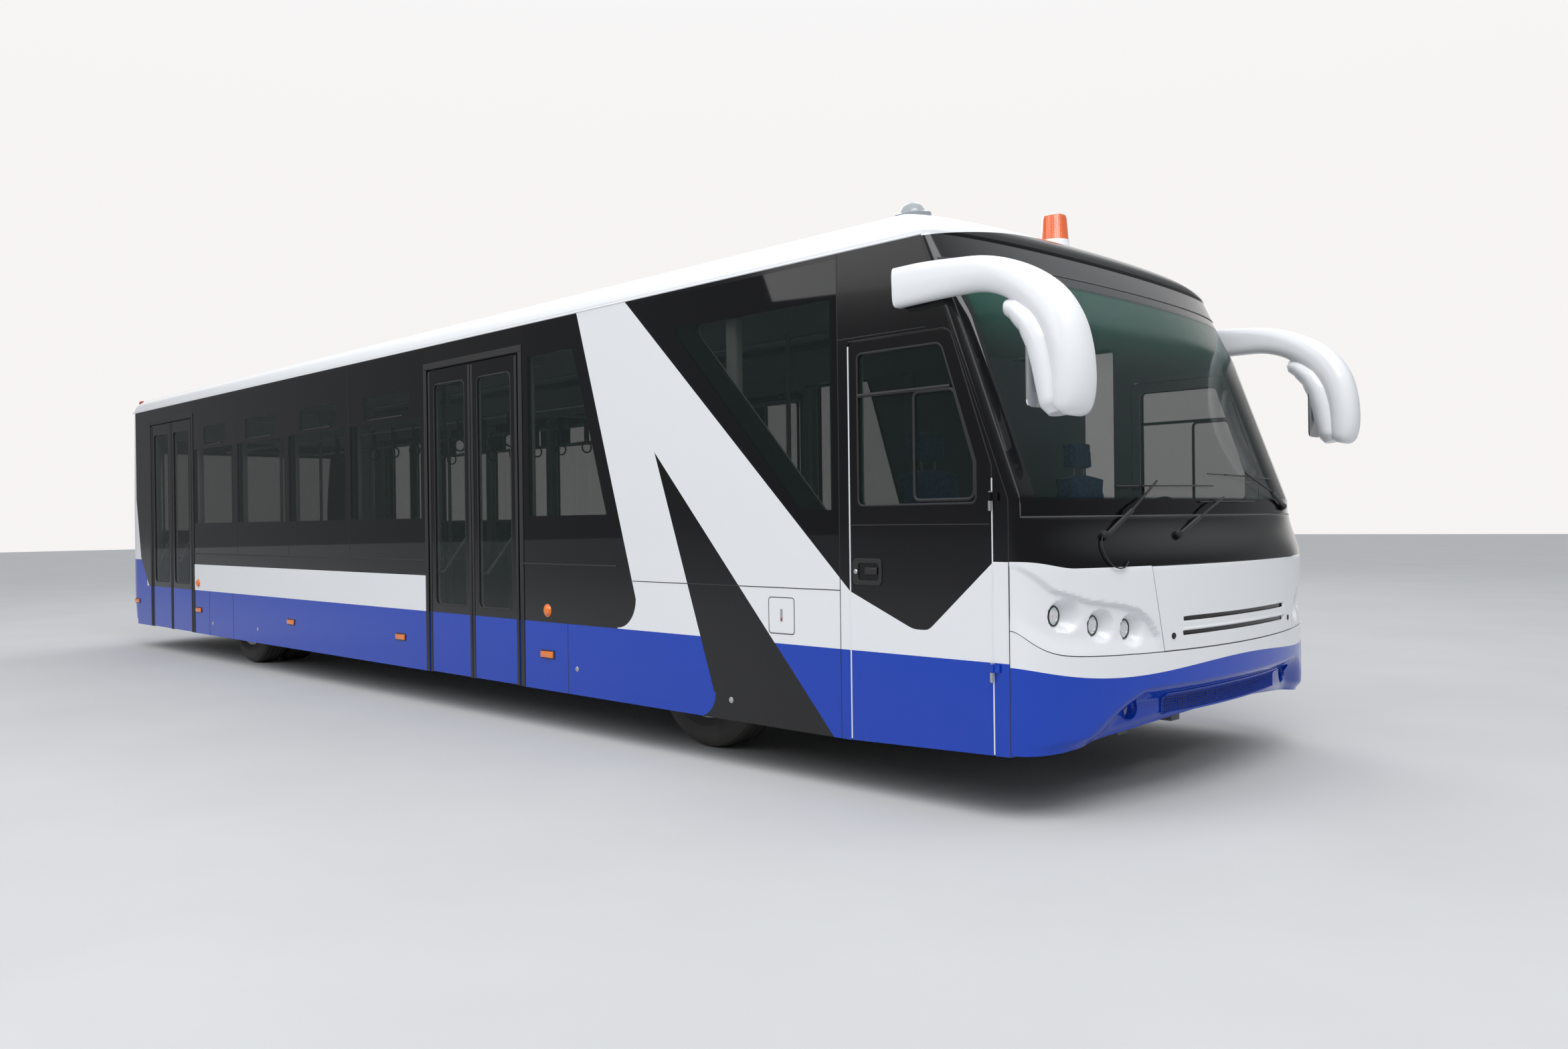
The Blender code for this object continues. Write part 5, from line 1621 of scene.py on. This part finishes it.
def tyre(name, centre, side):
    """Tyre with four tread grooves and a fine ring on each wall."""
    piece = turned(name, tyre_profile(0.272), centre, (0, side, 0), 144)
    smooth(piece, 30)
    beads = []
    for way in (-1, 1):
        radius = RIM_R + 0.055
        y = centre[1] + way * 0.1338
        ring = [
            (
                centre[0] + radius * math.cos(k * math.pi / 24), y,
                centre[2] + radius * math.sin(k * math.pi / 24),
            )
            for k in range(48)
        ]
        beads.append(bar(f"bead_{way}", ring, 0.0025, closed=True))
    return joined(name, [piece, *beads])


# Disc profile outside the shared rim, seats of nuts and hand holes, cap heights, valve height
TWIN_WHEEL = {
    "disc": [
        (0.0, 0.0), (0.105, 0.0), (0.118, -0.060), (0.150, -0.075), (0.168, -0.075), (0.225, -0.065),
        (0.245, -0.03), (0.252, 0.06), (0.262, 0.102), (0.276, 0.110), (0.288, 0.116), (0.292, 0.108),
    ],
    "nuts": -0.072, "holes": -0.068, "cap": (0.045, 0.043, 0.035, -0.004), "valve": -0.02,
}
SINGLE_WHEEL = {
    "disc": [
        (0.0, 0.098), (0.070, 0.098), (0.095, 0.090), (0.108, 0.070), (0.112, 0.030), (0.150, 0.028),
        (0.172, 0.030), (0.215, 0.010), (0.240, 0.030), (0.258, 0.085), (0.272, 0.105), (0.288, 0.116),
        (0.292, 0.108),
    ],
    "nuts": 0.029, "holes": 0.0155, "cap": (0.118, 0.116, 0.108, 0.092), "valve": 0.03,
}
RIM = [
    (0.288, 0.09), (0.270, 0.08), (0.262, 0.0), (
        0.262, -0.115,
    ), (0.292, -0.118), (0.292, -0.112), (0.25, -0.108),
]
NUTS_R, HOLES_R = 0.1425, 0.2045


def wheel(body, side, twin):
    """Wheel with a white steel disc rim, hand holes shown as black discs of painted shade, nuts and
    hub.
    """
    form = TWIN_WHEEL if twin else SINGLE_WHEEL
    low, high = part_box(body)
    x = (low.x + high.x) / 2
    face = side * (HALF - 0.20)
    centres = [face - side * 0.1375, face - side * 0.4475] if twin else [side * (HALF - 0.42)]
    for k, y in enumerate(centres):
        made = tyre(f"{body}_tyre_{k}", (x, y, AXLE_Z), side)
        fit(made, TYRE, body=body, nodes=[body] if k == 0 else [])
    y = centres[0]
    centre = (x, y, AXLE_Z)

    def ring_of(name, count, start, radius, profile, steps):
        """Small turned pieces in a ring about the axle."""
        pieces = []
        for k in range(count):
            angle = (k + start) * 2 * math.pi / count
            spot = (x + radius * math.cos(angle), y, AXLE_Z + radius * math.sin(angle))
            pieces.append(turned(f"{name}_{k}", profile, spot, (0, side, 0), steps))
        return smooth(joined(f"{body}_{name}", pieces))

    back = form["disc"][6][1] - 0.02
    inside = [
        (0.246, back - 0.03), (0.20, back - 0.045), (0.12, back - 0.05), (0.06, back - 0.05),
        (0.0, back - 0.05),
    ]
    rim = turned(f"{body}_rim", form["disc"] + RIM + inside, centre, (0, side, 0), 64)
    fit(smooth(rim, 35), PAINT["white"], body=body)
    at = form["nuts"]
    nut = [(0, at + 0.034), (0.006, at + 0.033), (0.012, at + 0.022), (0.013, at + 0.004)]
    nut += [(0.018, at), (0.018, at - 0.004), (0, at - 0.004)]
    fit(ring_of("nuts", 10, 0.5, NUTS_R, nut, 12), STEEL, body=body)
    # Painted shade: black discs on the closed wheel disc stand for the dark inside of the hand holes
    at = form["holes"]
    hole = [(0, at + 0.0035), (0.017, at + 0.0035), (0.021, at + 0.007), (0.024, at + 0.003)]
    hole += [(0.024, at - 0.01), (0, at - 0.01)]
    fit(ring_of("hand_hole_shade", 8, 0.25, HOLES_R, hole, 20), CHASSIS, body=body)
    top, crown, rise, foot = form["cap"]
    cap = [(0, top), (0.045, crown), (0.060, rise), (0.062, foot), (0, foot)]
    fit(smooth(turned(f"{body}_hub_cap", cap, centre, (0, side, 0), 32)), CHASSIS, body=body)
    stem = (x + 0.235, y + side * form["valve"], AXLE_Z)
    tip = (stem[0] + 0.012, stem[1] + side * 0.05, stem[2])
    fit(bar(f"{body}_valve", [stem, tip], 0.004), DARK, body=body)


# ---------------------------------------------------------------- cab and cabin


def swollen(piece, cap=0.016):
    modify(piece, "REMESH", mode="VOXEL", voxel_size=0.011)
    rest = [point.co.copy() for point in piece.data.vertices]
    step = piece.modifiers.new("swell", "CLOTH")
    step.settings.use_pressure = True
    step.settings.uniform_pressure_force = 4.0
    step.settings.effector_weights.gravity = 0.0
    step.settings.quality = 5
    step.settings.mass = 0.3
    for k in range(1, 21):
        bpy.context.scene.frame_set(k)
    alone(piece)
    bpy.ops.object.modifier_apply(modifier=step.name)
    bpy.context.scene.frame_set(1)
    for point, start in zip(piece.data.vertices, rest):
        move = point.co - start
        if move.length > cap:
            point.co = start + move.normalized() * cap
    modify(piece, "SUBSURF", levels=1, render_levels=1)
    smooth(piece, 180)
    return piece


def cushion(name, low, high, pull, lean=0.0, pivot=None):
    """Crowned pad whose sides pull in between its corners."""
    low, high = Vector(low), Vector(high)
    middle, half = (low + high) / 2, (high - low) / 2
    bpy.ops.object.select_all(action="DESELECT")
    bpy.ops.mesh.primitive_cube_add(size=2)
    piece = added(name)
    modify(piece, "SUBSURF", levels=5, render_levels=5, subdivision_type="SIMPLE")
    for point in piece.data.vertices:
        a, b, c = point.co
        waist = 1 - pull * (1 - b * b) * abs(a) ** 3
        side = 1 - pull * (1 - a * a) * abs(b) ** 3
        crown = 1 + 0.10 * (1 - a * a) * (1 - b * b)
        point.co = middle + Vector((a * half.x * waist, b * half.y * side, c * half.z * crown))
    modify(piece, "BEVEL", width=min(half) * 0.5, segments=4, angle_limit=math.radians(50))
    if lean:
        turn = Matrix.Rotation(lean, 4, "Y")
        shift = Matrix.Translation(pivot) @ turn @ Matrix.Translation(-Vector(pivot))
        piece.data.transform(shift)
    return piece


def seat(node, y):
    """Cab seat: sprung pedestal, shell, cushion, backrest, headrest and armrests."""
    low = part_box(node)[0]
    x, z = low.x + 0.03, low.z
    base = block(f"{node}_pedestal", (x + 0.13, y - 0.15, z), (x + 0.41, y + 0.15, z + 0.18), 0.012, 3)
    fit(smooth(base), DARK, nodes=[node])
    folds = [
        bar(
            f"fold_{k}",
            [
                (x + a, y + b, z + 0.185 + 0.022 * k)
                for a, b in ((0.14, -0.14), (0.40, -0.14), (0.40, 0.14), (0.14, 0.14))
            ],
            0.012, closed=True,
        )
        for k in range(4)
    ]
    fit(joined(f"{node}_bellows", folds), RUBBER)
    pan = block(
        f"{node}_pan", (x + 0.05, y - 0.22, z + 0.262), (x + 0.54, y + 0.22, z + 0.30), 0.012, 3,
    )
    fit(smooth(pan), DARK)
    pad = cushion(
        f"{node}_cushion", (x + 0.09, y - 0.225, z + 0.302), (x + 0.55, y + 0.225, z + 0.395), 0.05,
    )
    fit(swollen(pad), CLOTH)
    pivot = (x + 0.08, y, z + 0.36)
    back = cushion(
        f"{node}_backrest", (x + 0.02, y - 0.215, z + 0.40), (x + 0.115, y + 0.215, z + 0.98), 0.06,
        -0.07, pivot,
    )
    fit(swollen(back), CLOTH)
    head = cushion(
        f"{node}_headrest", (x + 0.015, y - 0.125, z + 1.04), (x + 0.09, y + 0.125, z + 1.20), 0.08,
        -0.07, pivot,
    )
    fit(swollen(head, 0.010), CLOTH)
    shift = Matrix.Translation(pivot) @ Matrix.Rotation(-0.07, 4, "Y") @ Matrix.Translation(
        -Vector(pivot)
    )
    posts = [
        bar(
            f"post_{k}",
            [
                shift @ Vector((x + 0.055, y + k, z + 0.94)),
                shift @ Vector((x + 0.055, y + k, z + 1.08)),
            ],
            0.006,
        )
        for k in (-0.06, 0.06)
    ]
    fit(joined(f"{node}_headrest_posts", posts), STEEL)
    rear = block(
        f"{node}_back_shell", (x - 0.005, y - 0.20, z + 0.30), (x + 0.022, y + 0.20, z + 0.97), 0.01, 3,
    )
    rear.data.transform(shift)
    fit(smooth(rear), DARK)
    rests = [
        block(
            f"rest_{k}", (x + 0.08, y + k * 0.25 - 0.022, z + 0.56),
            (x + 0.36, y + k * 0.25 + 0.022, z + 0.61), 0.016, 3,
        )
        for k in (-1, 1)
    ]
    fit(smooth(joined(f"{node}_armrests", rests)), DARK)


def wheel_ring(centre, axis, radius, thick, steps=48):
    """Rim of the steering wheel."""
    turn = Vector(axis).to_track_quat("Z", "Y").to_matrix()
    path = [
        Vector(centre) + turn @ Vector(
            (radius * math.cos(k * 2 * math.pi / steps), radius * math.sin(k * 2 * math.pi / steps), 0)
        )
        for k in range(steps)
    ]
    return bar("ring", path, thick, 12, closed=True)


def dashboard():
    """Moulded dash with an instrument hood, gauges and the wheel on its column."""
    front = SEAM_X - 0.04
    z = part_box("driver_seat")[0].z
    outline = [
        (front - 0.20, z), (front - 0.02, z), (front + 0.02, 1.28, 0.02), (front - 0.12, 1.335, 0.02),
    ]
    outline += [
        (front - 0.27, 1.30, 0.03), (front - 0.37, 1.18, 0.02), (front - 0.33, 1.10, 0.02),
        (front - 0.22, 0.95, 0.04),
    ]
    main = plate("dash_main", rounded(outline), "XZ", 0.48, 1.38, 0.008)
    wing = [
        (front - 0.30, 1.09, 0.02), (front - 0.01, 1.09, 0.01), (front + 0.01, 1.235, 0.02),
        (front - 0.31, 1.215, 0.03),
    ]
    side = plate("dash_wing", rounded(wing), "XZ", -1.38, 0.485, 0.008)
    fit(smooth(joined("dash_panel", [main, side])), PLASTIC, nodes=["dashboard"])
    hood = plate(
        "dash_hood",
        rounded(
            [
                (front - 0.40, 1.25, 0.01), (front - 0.10, 1.30), (front - 0.10, 1.37, 0.03),
                (front - 0.37, 1.37, 0.03),
            ]
        ),
        "XZ", 0.60, 1.00, 0.008,
    )
    fit(smooth(hood), DARK)
    hub = Vector((front - 0.50, 0.80, 1.36))
    column = Vector((front - 0.28, 0.80, 1.16))
    axis = (hub - column).normalized()
    ring = wheel_ring(hub + axis * 0.005, axis, 0.215, 0.014)
    turn = axis.to_track_quat("Z", "Y").to_matrix()
    spokes = [
        bar(
            f"spoke_{k}", [hub, hub + turn @ Vector((0.21 * math.cos(a), 0.21 * math.sin(a), 0.004))],
            0.011,
        )
        for k, a in enumerate((0.0, 2.1, 4.19))
    ]
    boss = turned(
        "boss", [(0, 0.030), (0.045, 0.026), (0.058, 0.010), (0.060, -0.02), (0, -0.02)], hub, axis, 28,
    )
    stalk = bar("column", [column, hub], 0.034, 16)
    fit(smooth(joined("steering_wheel", [ring, *spokes, boss, stalk])), DARK)
    gauges = []
    for k, y in enumerate((0.70, 0.80, 0.90)):
        spot = (front - 0.395, y, 1.30)
        gauges.append(
            turned(
                f"gauge_{k}",
                [(0, 0.0), (0.036, 0.0), (0.040, 0.006), (0.043, 0.0), (0.043, -0.03), (0, -0.03)],
                spot, (-1, 0, 0.4), 28,
            )
        )
    fit(smooth(joined("gauges", gauges)), PAINT["black"])


def interior():
    """What shows through the glass: posts, ceiling, lights, straps and the cab mirror."""
    for name, side in SIDES.items():
        posts = []
        for x in (-5.62, -4.225, -2.99, -1.72, -0.43, 0.93, 2.27, 3.42, 4.42):
            inner = sorted((side * (HALF - 0.10), side * (HALF - 0.042)))
            posts.append(
                block(f"post_{x}", (x - 0.045, inner[0], 1.06), (x + 0.045, inner[1], 2.58), 0.012, 3)
            )
        fit(smooth(joined(f"window_posts_{name}", posts)), LINING)
        cove = plate(
            f"ceiling_cove_{name}",
            [
                (side * (HALF - 0.05), 2.60), (side * (HALF - 0.06), 2.66), (side * 1.12, 2.86),
                (side * 1.10, 2.84), (side * (HALF - 0.12), 2.60),
            ],
            "YZ", -5.85, 4.85,
        )
        fit(cove, LINING)
        lights = block(
            f"ceiling_light_{name}", (-5.3, side * 0.86 - 0.07, 2.885),
            (4.2, side * 0.86 + 0.07, 2.900), 0.004,
        )
        fit(lights, PAINT["white"])
        straps = []
        for k in range(9):
            x = 0.62 - k * 0.42
            y = side * 0.55
            straps.append(
                block(f"strap_{k}", (x - 0.013, y - 0.020, 2.18), (x + 0.013, y + 0.020, 2.372), 0.002)
            )
            ring = [
                (x, y + 0.052 * math.sin(a * math.pi / 8), 2.135 + 0.052 * math.cos(a * math.pi / 8))
                for a in range(16)
            ]
            straps.append(bar(f"grip_{k}", ring, 0.008, closed=True))
        fit(smooth(joined(f"hand_straps_{name}", straps)), DARK)
    ceiling = block("ceiling_panel", (-5.6, -1.10, 2.905), (4.9, 1.10, 2.915), 0.003)
    fit(ceiling, LINING)
    mirror_y = -0.45
    glass = block("cab_mirror", (6.10, mirror_y - 0.13, 2.36), (6.14, mirror_y + 0.13, 2.46), 0.012, 3)
    stem = bar("cab_mirror_stem", [(6.12, mirror_y, 2.45), (6.10, mirror_y, 2.66)], 0.008)
    fit(smooth(joined("interior_mirror", [glass, stem])), DARK)


# ---------------------------------------------------------------- stage


def studio():
    """Plain light floor and soft overcast light."""
    bpy.ops.object.select_all(action="DESELECT")
    bpy.ops.mesh.primitive_plane_add(size=160)
    ground = added("ground")
    made, net, shader = surface("light_concrete", (0.5, 0.5, 0.5, 1), 0.9)
    coords = net.place()[0]
    net.put(
        shader["Base Color"],
        net.mix(net.noise(coords, 0.6, 6.0), (0.46, 0.465, 0.47, 1), (0.54, 0.545, 0.55, 1)),
    )
    ground.data.materials.append(made)
    world = bpy.data.worlds.new("overcast")
    world.use_nodes = True
    bpy.context.scene.world = world
    sky = Net(world.node_tree)
    shade = world.node_tree.nodes["Background"]
    _, x, y, z = sky.place()
    shade.inputs["Strength"].default_value = 1.0
    open_side = sky.ramp(sky.math("MINIMUM", y, sky.times(x, -1.0)), -0.05, 0.16)
    low = sky.mix(open_side, (0.22, 0.225, 0.23, 1), (0.93, 0.91, 0.90, 1))
    sky.put(shade.inputs["Color"], sky.mix(sky.ramp(z, 0.25, 0.75), low, (0.95, 0.98, 1.02, 1)))
    bpy.context.scene.view_settings.view_transform = "Standard"
    for label, energy, size, spot in (
        ("key", 1100, 8.0, (11, -5, 12)),
        ("side", 850, 12.0, (-2, -13, 11)),
        ("far", 700, 12.0, (-9, 12, 11)),
    ):
        bpy.ops.object.light_add(type="AREA", location=spot)
        lamp = bpy.context.active_object
        lamp.name = f"{label}_light"
        lamp.data.energy = energy
        lamp.data.size = size
        lamp.rotation_euler = (Vector((1.5, 0, 1.2)) - Vector(spot)).to_track_quat("-Z", "Y").to_euler()


def viewpoint():
    """Standing height off the front right corner."""
    yaw, pitch, roll = math.radians(134.935), math.radians(-0.176), math.radians(-0.709)
    ahead = Vector((math.cos(pitch) * math.cos(yaw), math.cos(pitch) * math.sin(yaw), math.sin(pitch)))
    right = ahead.cross(Vector((0, 0, 1))).normalized()
    up = right.cross(ahead)
    across = right * math.cos(roll) + up * math.sin(roll)
    upward = up * math.cos(roll) - right * math.sin(roll)
    data = bpy.data.cameras.new("view")
    data.sensor_width = 36.0
    data.lens = 27.11
    data.clip_end = 300
    eye = bpy.data.objects.new("view", data)
    bpy.context.scene.collection.objects.link(eye)
    turn = Matrix((across, upward, -ahead)).transposed().to_4x4()
    eye.matrix_world = Matrix.Translation((9.447, -6.077, 1.412)) @ turn
    bpy.context.scene.camera = eye


# ---------------------------------------------------------------- assembly

nose_mask()
windscreen()
lid()
bumper()
headlamps()
tail()
roof()
wipers()
for name, side in SIDES.items():
    side_seams(name, side)
    hopper_vents(name, side)
    pane_linings(name, side)
    small_lamps(name, side)
    hatch(name, side)
    for door in ("mid", "rear"):
        for end in ("rear", "front"):
            passenger_door(f"{door}_door_{end}_{name}_leaf", side)
        doorway_trim(door, name, side)
    cab_door(name, side)
    mirror(name, side)
    wheel(f"front_wheel_{name}", side, False)
    wheel(f"rear_wheel_{name}", side, True)
seat("driver_seat", 0.80)
seat("assistant_seat", -0.80)
dashboard()
interior()

nodes = frame["nodes"]
FINISHES = {
    "side_wall": PAINT["side"],
    "main_glass": GLASS_SIDE, "mid_glass": GLASS_SIDE, "front_glass": GLASS_SIDE,
    "floor_deck": FLOOR, "front_platform": FLOOR, "engine_block": CHASSIS, "front_axle": CHASSIS,
    "rear_axle": CHASSIS, "knuckle": CHASSIS, "grab_rails": STEEL, "cab_partition": PLASTIC,
}
for key, node in nodes.items():
    finish = next((value for start, value in FINISHES.items() if key.startswith(start)), None)
    if key.endswith("_arm"):
        finish = DARK
    if finish:
        node.data.materials.clear()
        node.data.materials.append(finish)

studio()
viewpoint()
